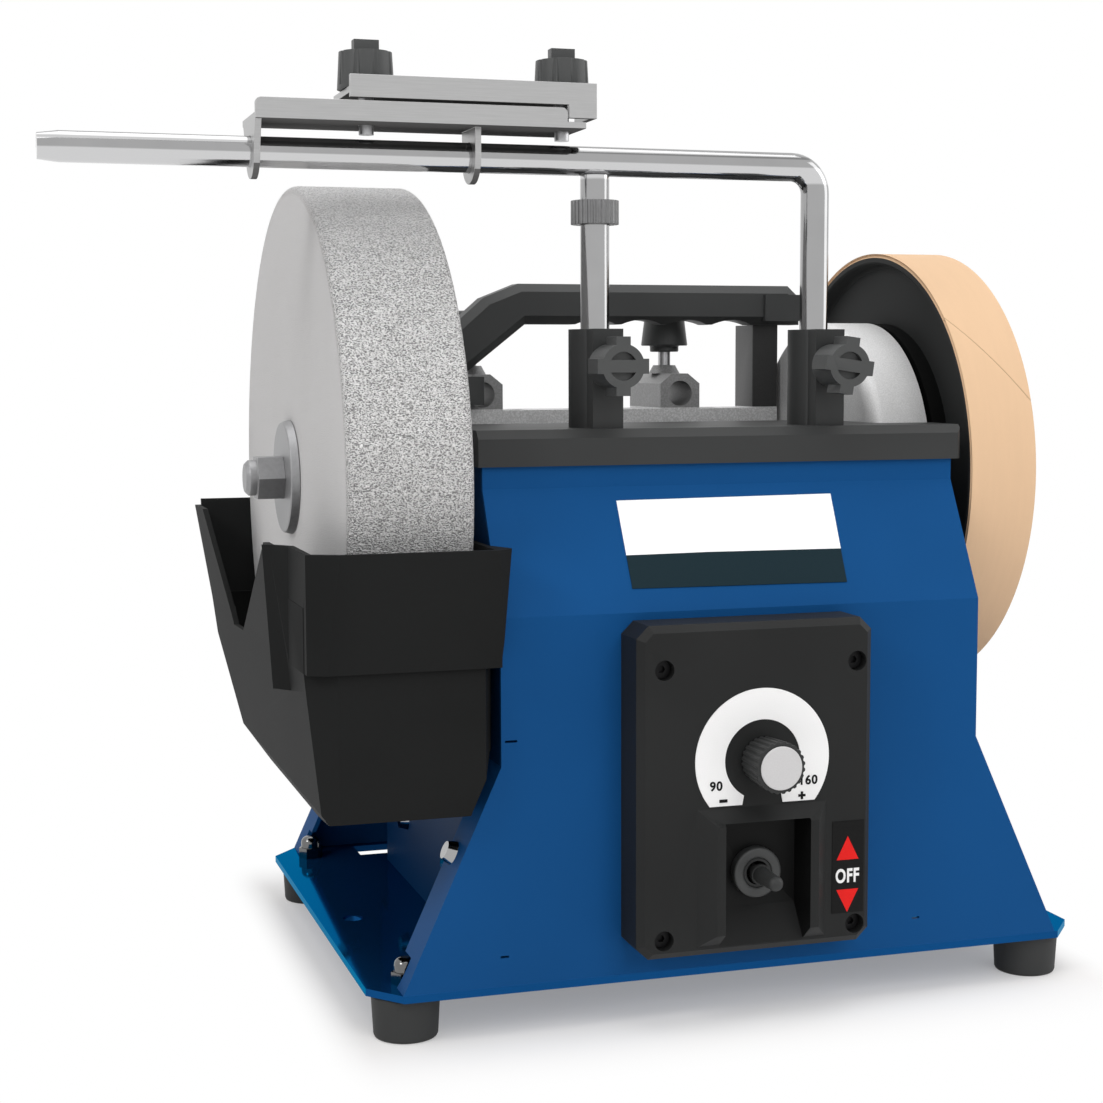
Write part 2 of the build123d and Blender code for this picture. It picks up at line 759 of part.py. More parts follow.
# Shaft: thick between the walls, thinner ends for the stone and the two right-hand wheels
with BuildPart() as main_shaft:
    shaft_start = stone_left - flange_thickness - nut_length - 3
    thick_start = stone_right + flange_thickness
    thick_end = drum_left - 0.5
    shaft_end = honing_right + honing_knob_length - 6
    for start, end, diameter in (
        (shaft_start, thick_start, shaft_end_diameter),
        (thick_start, thick_end, shaft_diameter),
        (thick_end, shaft_end, shaft_end_diameter),
    ):
        with BuildSketch(Plane.YZ.offset(start)):
            with Locations((0, axis_z)):
                Circle(diameter / 2)
        extrude(amount=end - start)
save(main_shaft, "main_shaft")

with BuildPart() as shaft_bushes:
    for flange_start, flange_end, bush_start, bush_end in (
        (body_left - 3, body_left, body_left - 3, body_left + bush_length),
        (wall_right, wall_right + 2, wall_right - bush_length, wall_right + 2),
    ):
        with BuildSketch(Plane.YZ.offset(bush_start)):
            with Locations((0, axis_z)):
                Circle(bush_radius)
        extrude(amount=bush_end - bush_start)
        with BuildSketch(Plane.YZ.offset(flange_start)):
            with Locations((0, axis_z)):
                Circle(bush_flange_radius)
        extrude(amount=flange_end - flange_start)
    with BuildSketch(Plane.YZ.offset(body_left - 5)):
        with Locations((0, axis_z)):
            Circle(shaft_diameter / 2 + run_gap)
    extrude(amount=body_width, mode=Mode.SUBTRACT)
save(shaft_bushes, "shaft_bushes")

end_bore = shaft_end_diameter / 2 + 0.02
with BuildPart() as grindstone:
    with BuildSketch(Plane.YZ.offset(stone_left)):
        with Locations((0, axis_z)):
            Circle(stone_radius)
            Circle(end_bore, mode=Mode.SUBTRACT)
    extrude(amount=stone_width)
    rims = grindstone.edges().filter_by(GeomType.CIRCLE).sort_by(SortBy.RADIUS)[-2:]
    chamfer(rims, stone_bevel)
save(grindstone, "grindstone")

for flange_name, flange_x, way in (
    ("stone_inner_flange", stone_right, 1),
    ("stone_outer_flange", stone_left, -1),
):
    with BuildPart() as flange:
        with BuildSketch(Plane.YZ.offset(flange_x)):
            with Locations((0, axis_z)):
                Circle(flange_diameter / 2)
        extrude(amount=way * flange_thickness, taper=16)
        with BuildSketch(Plane.YZ.offset(flange_x)):
            with Locations((0, axis_z)):
                Circle(end_bore)
        extrude(amount=way * flange_thickness, mode=Mode.SUBTRACT)
    save(flange, flange_name)

with BuildPart() as stone_lock_nut:
    nut_right = stone_left - flange_thickness
    with BuildSketch(Plane.YZ.offset(nut_right)):
        with Locations((0, axis_z)):
            RegularPolygon(nut_across_flats / 2, 6, major_radius=False)
    extrude(amount=-nut_length)
    with BuildSketch(Plane.YZ.offset(nut_right - nut_length)):
        with Locations((0, axis_z)):
            Circle(cap_radius)
    extrude(amount=-cap_length)
    chamfer(stone_lock_nut.faces().sort_by(Axis.X)[0].edges(), 1.6)
    with BuildSketch(Plane.YZ.offset(nut_right)):
        with Locations((0, axis_z)):
            Circle(end_bore)
    extrude(amount=-(nut_length + 3.2), mode=Mode.SUBTRACT)
save(stone_lock_nut, "stone_lock_nut")

# Drive drum: rim, web and hub on the shaft
with BuildPart() as drive_drum:
    for start, length, outer_radius, inner_radius in (
        (drum_left, drum_width, drum_radius, drum_radius - drum_wall),
        (drum_left, drum_web, drum_radius - 1, end_bore),
        (drum_left, drum_width + honing_gap, hub_radius, end_bore),
    ):
        with BuildSketch(Plane.YZ.offset(start)):
            with Locations((0, axis_z)):
                Circle(outer_radius)
                Circle(inner_radius, mode=Mode.SUBTRACT)
        extrude(amount=length)
    drum_rims = drive_drum.edges().filter_by(GeomType.CIRCLE).sort_by(SortBy.RADIUS)[-2:]
    fillet(drum_rims.sort_by(Axis.X)[0], drum_shoulder)
save(drive_drum, "drive_drum")

# Honing wheel: dished disc with hub and rim, and the leather band glued round it
with BuildPart() as honing_wheel:
    wheel_radius = honing_radius - strop_thickness
    for start, length, outer_radius, inner_radius in (
        (honing_left, honing_width, wheel_radius, wheel_radius - 7),
        (honing_left, honing_web, wheel_radius - 1, end_bore),
        (honing_left, honing_width, hub_radius + 2, end_bore),
    ):
        with BuildSketch(Plane.YZ.offset(start)):
            with Locations((0, axis_z)):
                Circle(outer_radius)
                Circle(inner_radius, mode=Mode.SUBTRACT)
        extrude(amount=length)
save(honing_wheel, "honing_wheel")

with BuildPart() as leather_strop:
    with BuildSketch(Plane.YZ.offset(honing_left)):
        with Locations((0, axis_z)):
            Circle(honing_radius)
            Circle(honing_radius - strop_thickness + 0.02, mode=Mode.SUBTRACT)
    extrude(amount=honing_width)
save(leather_strop, "leather_strop")

with BuildPart() as honing_knob:
    with BuildSketch(Plane.YZ.offset(honing_right)):
        with Locations((0, axis_z)):
            Circle(honing_knob_radius)
            with PolarLocations(honing_knob_radius + 3.5, 6):
                Circle(7, mode=Mode.SUBTRACT)
    extrude(amount=honing_knob_length)
    chamfer(honing_knob.faces().sort_by(Axis.X)[-1].edges(), 1.5)
    with BuildSketch(Plane.YZ.offset(honing_right)):
        with Locations((0, axis_z)):
            Circle(end_bore)
    extrude(amount=honing_knob_length - 5, mode=Mode.SUBTRACT)
save(honing_knob, "honing_knob")

# Motor on its hinged bracket; the spring below holds the roller up against the drum
face_x = wall_right - sheet - 13
motor_right = face_x - bracket_sheet
motor_left = motor_right - motor_length
with BuildPart() as motor_housing:
    with BuildSketch(Plane.YZ.offset(motor_left)):
        with Locations((0, motor_z)):
            Circle(motor_radius)
    extrude(amount=motor_length)
    chamfer(motor_housing.edges().filter_by(GeomType.CIRCLE), 3)
    with BuildSketch(Plane.YZ.offset(motor_right)):
        with Locations((0, motor_z)):
            Circle(11)
    extrude(amount=bracket_sheet + 2)
    with BuildSketch(Plane.YZ.offset(face_x + 2)):
        with Locations((0, motor_z)):
            Circle(motor_shaft_diameter / 2 + run_gap)
    extrude(amount=-motor_shaft_grip - 10, mode=Mode.SUBTRACT)
    with BuildSketch(Plane.YZ.offset(motor_right)):
        with Locations((0, motor_z)):
            with PolarLocations(25, 4, start_angle=45):
                Circle(2 + fit_gap)
    extrude(amount=-12, mode=Mode.SUBTRACT)
save(motor_housing, "motor_housing")

with BuildPart() as motor_shaft:
    with BuildSketch(Plane.YZ.offset(face_x - motor_shaft_grip)):
        with Locations((0, motor_z)):
            Circle(motor_shaft_diameter / 2)
    extrude(amount=drum_right - 1 - face_x + motor_shaft_grip)
save(motor_shaft, "motor_shaft")

with BuildPart() as drive_roller:
    with BuildSketch(Plane.YZ.offset(drum_left)):
        with Locations((0, motor_z)):
            Circle(roller_radius)
            Circle(motor_shaft_diameter / 2 + 0.02, mode=Mode.SUBTRACT)
    extrude(amount=drum_width)
save(drive_roller, "drive_roller")

plate_top = motor_z - motor_radius - fit_gap
with BuildPart() as motor_bracket:
    bracket_left = motor_left + 6
    with BuildSketch(Plane.YZ.offset(bracket_left)):
        Polygon(
            (-motor_radius - 6, plate_top - bracket_sheet),
            (hinge_y, plate_top - bracket_sheet),
            (hinge_y, plate_top),
            (-motor_radius - 6, plate_top),
            align=None,
        )
        with Locations((hinge_y, hinge_z)):
            Circle(hinge_barrel_radius)
            Circle(hinge_pin_diameter / 2 + run_gap, mode=Mode.SUBTRACT)
    extrude(amount=face_x - bracket_left)
    with BuildSketch(Plane.YZ.offset(motor_right)):
        with Locations((0, motor_z - 2)):
            Rectangle(2 * motor_radius + 4, 2 * motor_radius + 4 + 0.2)
        with Locations((0, motor_z)):
            Circle(11 + fit_gap, mode=Mode.SUBTRACT)
            with PolarLocations(25, 4, start_angle=45):
                Circle(2 + fit_gap, mode=Mode.SUBTRACT)
    extrude(amount=bracket_sheet)
save(motor_bracket, "motor_bracket")

with BuildPart() as motor_screws:
    for start, length, radius in ((face_x - bracket_sheet - 10, bracket_sheet + 10, 2), (face_x, 3, 3.6)):
        with BuildSketch(Plane.YZ.offset(start)):
            with Locations((0, motor_z)):
                with PolarLocations(25, 4, start_angle=45):
                    Circle(radius)
        extrude(amount=length)
save(motor_screws, "motor_screws")

with BuildPart() as pivot_pin:
    with BuildSketch(Plane.YZ.offset(body_left + 0.2)):
        with Locations((hinge_y, hinge_z)):
            Circle(hinge_pin_diameter / 2)
    extrude(amount=wall_right - 0.2 - body_left - 0.2)
save(pivot_pin, "pivot_pin")

with BuildPart() as press_spring:
    spring_x = (motor_left + motor_right) / 2
    spring_low = floor_z + spring_wire / 2
    spring_rise = plate_top - bracket_sheet - floor_z - spring_wire
    with BuildLine(Plane.XY.offset(spring_low)) as coil:
        Helix(spring_rise / 9, spring_rise, spring_radius, center=(spring_x, spring_y, 0))
    with BuildSketch(Plane(coil.line @ 0, z_dir=coil.line % 0)):
        Circle(spring_wire / 2 - 0.02)
    sweep(path=coil.line, is_frenet=True)
save(press_spring, "press_spring")

# Control box: bevelled shell on the front panel with a hooded pocket for the toggle
with BuildPart() as control_box:
    with BuildSketch(Plane.XZ.offset(front_y)):
        with Locations((box_middle_x, (box_top + box_bottom) / 2)):
            Rectangle(box_width, box_height)
    extrude(amount=box_depth)
    chamfer(control_box.edges().filter_by(Axis.Y), box_corner)
    chamfer(control_box.faces().sort_by(Axis.Y)[0].edges(), box_bevel)
    with BuildSketch(Plane.XZ.offset(front_y)):
        with Locations((box_middle_x, (box_top + box_bottom) / 2)):
            Rectangle(box_width - 2 * box_wall - 4, box_height - 2 * box_wall - 4)
    extrude(amount=box_depth - box_wall, mode=Mode.SUBTRACT)
    with BuildSketch(Plane.XZ.offset(box_front - 0.5)):
        with Locations((dials_x, (hood_top + hood_bottom) / 2)):
            Rectangle(hood_width, hood_top - hood_bottom)
    extrude(amount=hood_rise + 0.5, taper=40)
    with BuildSketch(Plane.XZ.offset(pocket_floor - 2.5)):
        with Locations((dials_x, (hood_top + hood_bottom) / 2)):
            Rectangle(pocket_width + 5, hood_top - hood_bottom)
    extrude(amount=pocket_depth + 1)
    corner_points = []
    for hole_x in (-box_width / 2 + box_screw_left, box_width / 2 - box_screw_right):
        for hole_z in (box_top - box_screw_top, box_bottom + box_screw_low):
            corner_points.append((box_middle_x + hole_x, hole_z))
    post_points = []
    for hole_x in (-30, 24):
        for hole_z in (box_top - 10, box_top - 36):
            post_points.append((box_middle_x + hole_x, hole_z))
    with BuildSketch(Plane.XZ.offset(front_y)):
        with Locations(*corner_points):
            Circle(5.0)
    extrude(amount=box_depth - 1)
    with BuildSketch(Plane.XZ.offset(front_y + 5)):
        with Locations(*post_points):
            Circle(2.6)
    extrude(amount=box_depth - 6)
    with BuildSketch(Plane.YZ.offset(dials_x - pocket_width / 2)):
        Polygon(
            (-box_front - 20, hood_top - 5.5),
            (-pocket_floor, hood_top - 5.5),
            (-pocket_floor, hood_bottom + 13),
            (-box_front, hood_bottom - 0.2),
            (-box_front - 20, hood_bottom - 0.2),
            align=None,
        )
    extrude(amount=pocket_width, mode=Mode.SUBTRACT)
    with BuildSketch(Plane.XZ.offset(front_y - 1)):
        with Locations(*corner_points):
            Circle(2 + fit_gap)
        with Locations((dials_x, dial_z)):
            Circle(3.6)
        with Locations((toggle_x, toggle_z)):
            Circle(5.9)
    extrude(amount=box_depth + 2, mode=Mode.SUBTRACT)
    with BuildSketch(Plane.XZ.offset(box_front)):
        with Locations(*corner_points):
            Circle(4)
    extrude(amount=-7, mode=Mode.SUBTRACT)
save(control_box, "control_box")

with BuildPart() as control_box_screws:
    with BuildSketch(Plane.XZ.offset(front_y - 6)):
        with Locations(*corner_points):
            Circle(2)
    extrude(amount=6 + box_depth - 7)
    with BuildSketch(Plane.XZ.offset(box_front - 7)):
        with Locations(*corner_points):
            Circle(3.7)
    extrude(amount=3)
    with BuildSketch(Plane.XZ.offset(box_front - 4)):
        with Locations(*corner_points):
            RegularPolygon(1.6, 6)
    extrude(amount=-1.6, mode=Mode.SUBTRACT)
save(control_box_screws, "control_box_screws")

with BuildPart() as control_board:
    with BuildSketch(Plane.XZ.offset(front_y + 5)):
        with Locations((box_middle_x - 2, box_top - 23)):
            Rectangle(board_width, board_height)
    extrude(amount=-1.6)
    with BuildSketch(Plane.XZ.offset(front_y + 5)):
        with Locations((box_middle_x - 14, box_top - 22), (box_middle_x + 8, box_top - 22)):
            Rectangle(12, 16)
    extrude(amount=9)
save(control_board, "control_board")

with BuildPart() as dial_ring:
    with BuildSketch(Plane.XZ.offset(box_front)):
        with Locations((dials_x, dial_z)):
            Circle(dial_outer)
            Circle(dial_inner, mode=Mode.SUBTRACT)
        with Locations((dials_x, hood_top - 20 + 0.4)):
            Rectangle(3 * dial_outer, 40, mode=Mode.SUBTRACT)
        Polygon(
            (dials_x - dial_gap / 2, dial_z - dial_inner * 0.8),
            (dials_x + dial_gap / 2, dial_z - dial_inner * 0.8),
            (dials_x + dial_gap * 0.62, hood_top - 5),
            (dials_x - dial_gap * 0.62, hood_top - 5),
            align=None,
            mode=Mode.SUBTRACT,
        )
    extrude(amount=0.4)
save(dial_ring, "dial_ring")

with BuildPart() as potentiometer:
    with BuildSketch(Plane.XZ.offset(box_front - box_wall)):
        with Locations((dials_x, dial_z)):
            Circle(8)
    extrude(amount=-9)
    with BuildSketch(Plane.XZ.offset(box_front - box_wall)):
        with Locations((dials_x, dial_z)):
            Circle(3.5)
    extrude(amount=box_wall)
    with BuildSketch(Plane.XZ.offset(box_front + 1)):
        with Locations((dials_x, dial_z)):
            Circle(2.5 + run_gap)
    extrude(amount=-9, mode=Mode.SUBTRACT)
save(potentiometer, "potentiometer")

with BuildPart() as potentiometer_shaft:
    with BuildSketch(Plane.XZ.offset(box_front - 7.5)):
        with Locations((dials_x, dial_z)):
            Circle(2.5)
    extrude(amount=7.5 + 12)
save(potentiometer_shaft, "potentiometer_shaft")

knob_back = box_front + 0.8
with BuildPart() as speed_knob:
    with BuildSketch(Plane.XZ.offset(knob_back)):
        with Locations((dials_x, dial_z)):
            Circle(knob_radius)
            with PolarLocations(knob_radius + 0.35, 24):
                Circle(0.85, mode=Mode.SUBTRACT)
    extrude(amount=knob_length)
    with BuildSketch(Plane.XZ.offset(knob_back)):
        with Locations((dials_x, dial_z)):
            Circle(2.52)
    extrude(amount=11.5, mode=Mode.SUBTRACT)
save(speed_knob, "speed_knob")

with BuildPart() as speed_knob_cap:
    with BuildSketch(Plane.XZ.offset(knob_back + knob_length)):
        with Locations((dials_x, dial_z)):
            Circle(knob_radius - 0.8)
    extrude(amount=1.1)
save(speed_knob_cap, "speed_knob_cap")

# Toggle switch: body behind the pocket, collar nut in front, lever on a cross pin inside the neck
pivot_y = -(pocket_floor - 6)
with BuildPart() as toggle_body:
    with BuildSketch(Plane.XZ.offset(pocket_floor - 2.5)):
        with Locations((toggle_x, toggle_z)):
            Rectangle(14, 28)
    extrude(amount=-20)
    with BuildSketch(Plane.XZ.offset(pocket_floor - 2.5)):
        with Locations((toggle_x, toggle_z)):
            Circle(5.8)
    extrude(amount=2.5 + 4)
    with BuildSketch(Plane.XZ.offset(pocket_floor + 4)):
        with Locations((toggle_x, toggle_z)):
            Circle(4.8)
    extrude(amount=-16, mode=Mode.SUBTRACT)
save(toggle_body, "toggle_body")

with BuildPart() as toggle_collar:
    with BuildSketch(Plane.XZ.offset(pocket_floor)):
        with Locations((toggle_x, toggle_z)):
            Circle(collar_radius)
            Circle(5.85, mode=Mode.SUBTRACT)
    extrude(amount=4.5)
    chamfer(toggle_collar.edges().filter_by(GeomType.CIRCLE).group_by(Axis.Y)[0], 0.6)
save(toggle_collar, "toggle_collar")

with BuildPart() as toggle_lever:
    with Locations((toggle_x, pivot_y, toggle_z)):
        Cylinder(4.45, 3, rotation=(0, 90, 0))
    with BuildSketch(Plane.XZ.offset(-pivot_y)):
        with Locations((toggle_x, toggle_z)):
            Circle(lever_radius)
    extrude(amount=12.5)
    with BuildSketch(Plane.XZ.offset(-pivot_y + 12)):
        with Locations((toggle_x, toggle_z)):
            Circle(lever_hub_radius)
    extrude(amount=1.8)
    lever_tip_y = -pivot_y + lever_length
    with BuildSketch(Plane.XZ.offset(-pivot_y + 13)) as lever_neck:
        with Locations((toggle_x, toggle_z)):
            Circle(lever_tip_radius + 0.4)
    with BuildSketch(Plane.XZ.offset(lever_tip_y)) as lever_end:
        with Locations((toggle_x, toggle_z)):
            Circle(lever_tip_radius - 0.1)
    loft([lever_neck.sketch, lever_end.sketch])
    with Locations((toggle_x, -lever_tip_y, toggle_z)):
        Sphere(lever_tip_radius)
save(toggle_lever, "toggle_lever")

# Cable gland in the rear panel
with BuildPart() as cable_gland:
    for start, length, radius in ((front_y - sheet - 5, 5, 10), (front_y - sheet, sheet, 7.5), (front_y, 9, 10)):
        with BuildSketch(Plane.XZ.offset(-start)):
            with Locations((body_left + 45, floor_z + 40)):
                Circle(radius)
        extrude(amount=-length)
    with BuildSketch(Plane.XZ.offset(-front_y - 10)):
        with Locations((body_left + 45, floor_z + 40)):
            Circle(3.5)
    extrude(amount=30, both=True, mode=Mode.SUBTRACT)
    chamfer(cable_gland.faces().sort_by(Axis.Y)[-1].edges().sort_by(SortBy.RADIUS)[-1], 2)
save(cable_gland, "cable_gland")

# Tool support: bar bent down into the right leg, the left leg welded on, the adjusting nut
bar_left = stone_left - bar_left_reach
bar_tip = 8.0
with BuildPart() as support_bar:
    with BuildLine(Plane.XZ.offset(-leg_y)) as bar_path:
        FilletPolyline(
            (bar_left + bar_tip, bar_z),
            (leg_right_x, bar_z),
            (leg_right_x, axis_z - leg_tail),
            radius=bar_bend,
        )
    with BuildSketch(Plane.YZ.offset(bar_left + bar_tip)):
        with Locations((leg_y, bar_z)):
            Circle(leg_radius)
    sweep(path=bar_path.line)
    with BuildSketch(Plane.YZ.offset(bar_left + bar_tip)):
        with Locations((leg_y, bar_z)):
            Circle(leg_radius)
    extrude(amount=-bar_tip, taper=7)
save(support_bar, "support_bar")

with BuildPart() as support_leg:
    with BuildSketch(Plane.XY.offset(axis_z - leg_tail)):
        with Locations((leg_left_x, leg_y)):
            Circle(leg_radius)
    extrude(amount=bar_z - leg_radius + weld_seat - axis_z + leg_tail)
    with BuildSketch(Plane.YZ.offset(leg_left_x - 20)):
        with Locations((leg_y, bar_z)):
            Circle(leg_radius + 0.01)
    extrude(amount=40, mode=Mode.SUBTRACT)
save(support_leg, "support_leg")

with BuildPart() as adjust_nut:
    with BuildSketch(Plane.XY.offset(axis_z + adjust_rise)):
        with Locations((leg_left_x, leg_y)):
            Circle(adjust_radius)
            with PolarLocations(adjust_radius + 0.35, 28):
                Circle(0.8, mode=Mode.SUBTRACT)
            Circle(leg_radius + run_gap, mode=Mode.SUBTRACT)
    extrude(amount=adjust_height)
save(adjust_nut, "adjust_nut")

# Jig on the bar: channel with two bored ears, a clamp plate and two hand screws
jig_z = axis_z + jig_rise
jig_x0 = stone_left + jig_left
jig_x1 = stone_left + jig_right
jig_front = leg_y - 16.5
jig_back = jig_front + jig_depth
jig_screw_xs = (stone_left + jig_screw_left, stone_left + jig_screw_left + jig_screw_spacing)
jig_plate_x1 = jig_screw_xs[1] + 5.7
clamp_plate_z = jig_z + jig_lip + 3.0
clamp_x0 = stone_left + 9.7
clamp_x1 = stone_left + 110.0
ear_radius = 10.5
with BuildPart() as jig_base:
    with BuildSketch(Plane.XY.offset(jig_z)):
        with Locations(((jig_x0 + jig_plate_x1) / 2, (jig_front + jig_back) / 2)):
            Rectangle(jig_plate_x1 - jig_x0, jig_depth)
    extrude(amount=jig_sheet)
    with BuildSketch(Plane.XZ.offset(-jig_front)):
        with Locations(((jig_x0 + jig_x1) / 2, jig_z + jig_lip / 2)):
            RectangleRounded(jig_x1 - jig_x0, jig_lip, 2.2)
    extrude(amount=-jig_sheet)
    for ear_x, flare in ((jig_x0, 1), (jig_x0 + 88, 0)):
        with BuildSketch(Plane.YZ.offset(ear_x)):
            Polygon(
                (leg_y - ear_radius - flare * (leg_y - ear_radius - jig_front - 1), jig_z + 1),
                (leg_y - ear_radius, bar_z),
                (leg_y + ear_radius, bar_z),
                (leg_y + ear_radius + flare * (jig_back - 1 - leg_y - ear_radius), jig_z + 1),
                align=None,
            )
            with Locations((leg_y, bar_z)):
                Circle(ear_radius)
                Circle(leg_radius + run_gap, mode=Mode.SUBTRACT)
        extrude(amount=jig_sheet)
    with BuildSketch(Plane.XY.offset(jig_z)):
        with Locations(*[(x, jig_screw_y) for x in jig_screw_xs]):
            Circle(jig_screw_diameter / 2 + run_gap)
    extrude(amount=jig_sheet, mode=Mode.SUBTRACT)
save(jig_base, "jig_base")

with BuildPart() as jig_clamp_plate:
    with BuildSketch(Plane.XY.offset(clamp_plate_z)):
        with Locations(((clamp_x0 + clamp_x1) / 2, (jig_front + jig_back) / 2)):
            Rectangle(clamp_x1 - clamp_x0, jig_depth)
    extrude(amount=jig_sheet)
    with BuildSketch(Plane.XY.offset(clamp_plate_z - 1.8)):
        with Locations(((clamp_x0 + clamp_x1) / 2, jig_front + jig_sheet / 2)):
            Rectangle(clamp_x1 - clamp_x0, jig_sheet)
    extrude(amount=8.7)
    with BuildSketch(Plane.XY.offset(clamp_plate_z - 7)):
        with Locations(((jig_x1 + 0.6 + clamp_x1) / 2, jig_front + jig_sheet / 2)):
            Rectangle(clamp_x1 - jig_x1 - 0.6, jig_sheet)
    extrude(amount=13)
    with BuildSketch(Plane.XY.offset(clamp_plate_z - 7)):
        with Locations((clamp_x1 - jig_sheet / 2, jig_front + 11)):
            Rectangle(jig_sheet, 22)
    extrude(amount=7 + jig_sheet)
    with BuildSketch(Plane.XY.offset(clamp_plate_z)):
        with Locations(*[(x, jig_screw_y) for x in jig_screw_xs]):
            Circle(jig_screw_diameter / 2 + run_gap)
    extrude(amount=jig_sheet, mode=Mode.SUBTRACT)
save(jig_clamp_plate, "jig_clamp_plate")

for knob_side, knob_x in zip(("left", "right"), jig_screw_xs):
    jig_knob_z = clamp_plate_z + jig_sheet + 0.3
    with BuildPart() as jig_knob:
        with Locations((knob_x, jig_screw_y, jig_knob_z)):
            Cone(
                jig_knob_radius,
                jig_knob_radius - 0.8,
                jig_knob_height,
                align=(Align.CENTER, Align.CENTER, Align.MIN),
            )
        with BuildSketch(Plane.XY.offset(jig_knob_z + 1.5)):
            with Locations((knob_x, jig_screw_y)):
                with PolarLocations(jig_knob_radius + 0.3, 9):
                    Circle(1.5)
        extrude(amount=jig_knob_height, mode=Mode.SUBTRACT)
        with BuildSketch(Plane.XY.offset(jig_knob_z + jig_knob_height)):
            with Locations((knob_x, jig_screw_y)):
                Rectangle(10, 5)
        extrude(amount=4.8)
        with BuildSketch(Plane.XY.offset(jig_knob_z)):
            with Locations((knob_x, jig_screw_y)):
                Circle(jig_screw_diameter / 2 + 0.02)
        extrude(amount=10, mode=Mode.SUBTRACT)
    save(jig_knob, f"jig_{knob_side}_knob")
    with BuildPart() as jig_screw:
        with BuildSketch(Plane.XY.offset(jig_z - 3.6)):
            with Locations((knob_x, jig_screw_y)):
                Circle(jig_screw_diameter / 2)
        extrude(amount=jig_knob_z + 9.8 - jig_z + 3.6)
    save(jig_screw, f"jig_{knob_side}_screw")


def tub(side_view, front_view, plan_view, inset):
    """Solid common to a side, a front and a plan outline, each drawn in by the inset."""
    with BuildPart() as block:
        with BuildSketch(Plane.YZ.offset(stone_left - 60)):
            Polygon(*[(y, axis_z + z) for y, z in side_view], align=None)
            if inset:
                offset(amount=-inset, kind=Kind.INTERSECTION)
        extrude(amount=150)
        with BuildSketch(Plane.XZ):
            Polygon(*[(stone_left + x, axis_z + z) for x, z in front_view], align=None)
            if inset:
                offset(amount=-inset, kind=Kind.INTERSECTION)
        extrude(amount=300, both=True, mode=Mode.INTERSECT)
        with BuildSketch(Plane.XY):
            Polygon(*[(stone_left + x, y) for x, y in plan_view], align=None)
            if inset:
                offset(amount=-inset, kind=Kind.INTERSECTION)
        extrude(amount=600, mode=Mode.INTERSECT)
    return block.part


# Trough: wide upper tray and narrower well, both open upwards; heights are below the shaft
rim = -trough_rim_drop
above = rim + 12
step = -trough_step_drop
tray_front = -stone_radius - trough_front_gap
tray_rear = stone_radius + trough_rear_gap
tray_left = -trough_left_reach
tray_right = stone_width + trough_right_gap
well_front = tray_front + 5
well_floor = -stone_radius - trough_floor_gap
draft = 6.2 / (trough_step_drop - trough_rim_drop)
rear_draft = 12.7 / (trough_step_drop - trough_rim_drop)
step_left = tray_left + draft * (rim - step)
step_rear = tray_rear - rear_draft * (rim - step)
tray_side = [
    (tray_front, above),
    (tray_front, rim),
    (tray_front + 2.5, step),
    (step_rear, step),
    (tray_rear, rim),
    (tray_rear + rear_draft * (above - rim), above),
]
tray_face = [
    (tray_left - draft * (above - rim), above),
    (step_left, step),
    (tray_right, step),
    (tray_right, above),
]
tray_plan = [
    (tray_left - 16, 300),
    (tray_left - 16, tray_front + 71),
    (tray_left + 6.5, tray_front + 43.6),
    (tray_left + 6.5, tray_front + 6),
    (tray_left + 18.5, tray_front),
    (tray_right - 1.5, tray_front),
    (tray_right, tray_front + 1.4),
    (tray_right, 300),
]
nose_face = [
    (tray_left - draft * (above - rim), above),
    (step_left, step),
    (tray_right - 0.5, step),
    (tray_right + 5, rim),
    (tray_right + 7.5, above),
]
nose_plan = [
    (tray_left + 6.5, tray_front + 20),
    (tray_left + 6.5, tray_front + 6),
    (tray_left + 18.5, tray_front),
    (tray_right - 1.5, tray_front),
    (tray_right + 5.7, tray_front + 6.5),
    (tray_right, tray_front + 20),
]
well_side = [
    (well_front, step + 25),
    (well_front, well_floor + 10.5),
    (well_front + 62, well_floor),
    (stone_radius - 75, well_floor),
    (stone_radius - 60, well_floor + 9),
    (stone_radius + 5, step - 17.6),
    (step_rear, step),
    (step_rear, step + 25),
]
well_face = [
    (step_left, step + 25),
    (step_left, step),
    (step_left + 5.5, well_floor + 14),
    (step_left + 15, well_floor),
    (tray_right - 7, well_floor),
    (tray_right - 0.2, well_floor + 7),
    (tray_right - 0.2, step + 25),
]
well_plan = [
    (step_left - 22, 300),
    (step_left - 22, well_front + 6),
    (step_left + 0.9, well_front + 6),
    (step_left + 12, well_front),
    (tray_right - 6, well_front),
    (tray_right - 0.2, well_front + 14),
    (tray_right - 0.2, 300),
]
corner_cut = [
    (tray_right - 2, -flare_drop + 6),
    (tray_right + 20, -flare_drop + 6),
    (tray_right + 20, well_floor - 20),
    (tray_right - 2 - flare_slope * (-flare_drop + 6 - well_floor + 20), well_floor - 20),
]
with BuildPart() as corner_outside:
    with BuildSketch(Plane.XZ.offset(stone_radius * 0.8)):
        Polygon(*[(stone_left + x, axis_z + z) for x, z in corner_cut], align=None)
    extrude(amount=stone_radius)
with BuildPart() as corner_inside:
    with BuildSketch(Plane.XZ.offset(stone_radius * 0.8 - trough_wall)):
        Polygon(*[(stone_left + x, axis_z + z) for x, z in corner_cut], align=None)
        offset(amount=trough_wall, kind=Kind.INTERSECTION)
    extrude(amount=stone_radius)
tray_outside = tub(tray_side, tray_face, tray_plan, 0)
tray_inside = tub(tray_side, tray_face, tray_plan, trough_wall)
nose_outside = tub(tray_side, nose_face, nose_plan, 0)
well_outside = tub(well_side, well_face, well_plan, 0) - corner_outside.part
well_inside = tub(well_side, well_face, well_plan, trough_wall) - corner_inside.part
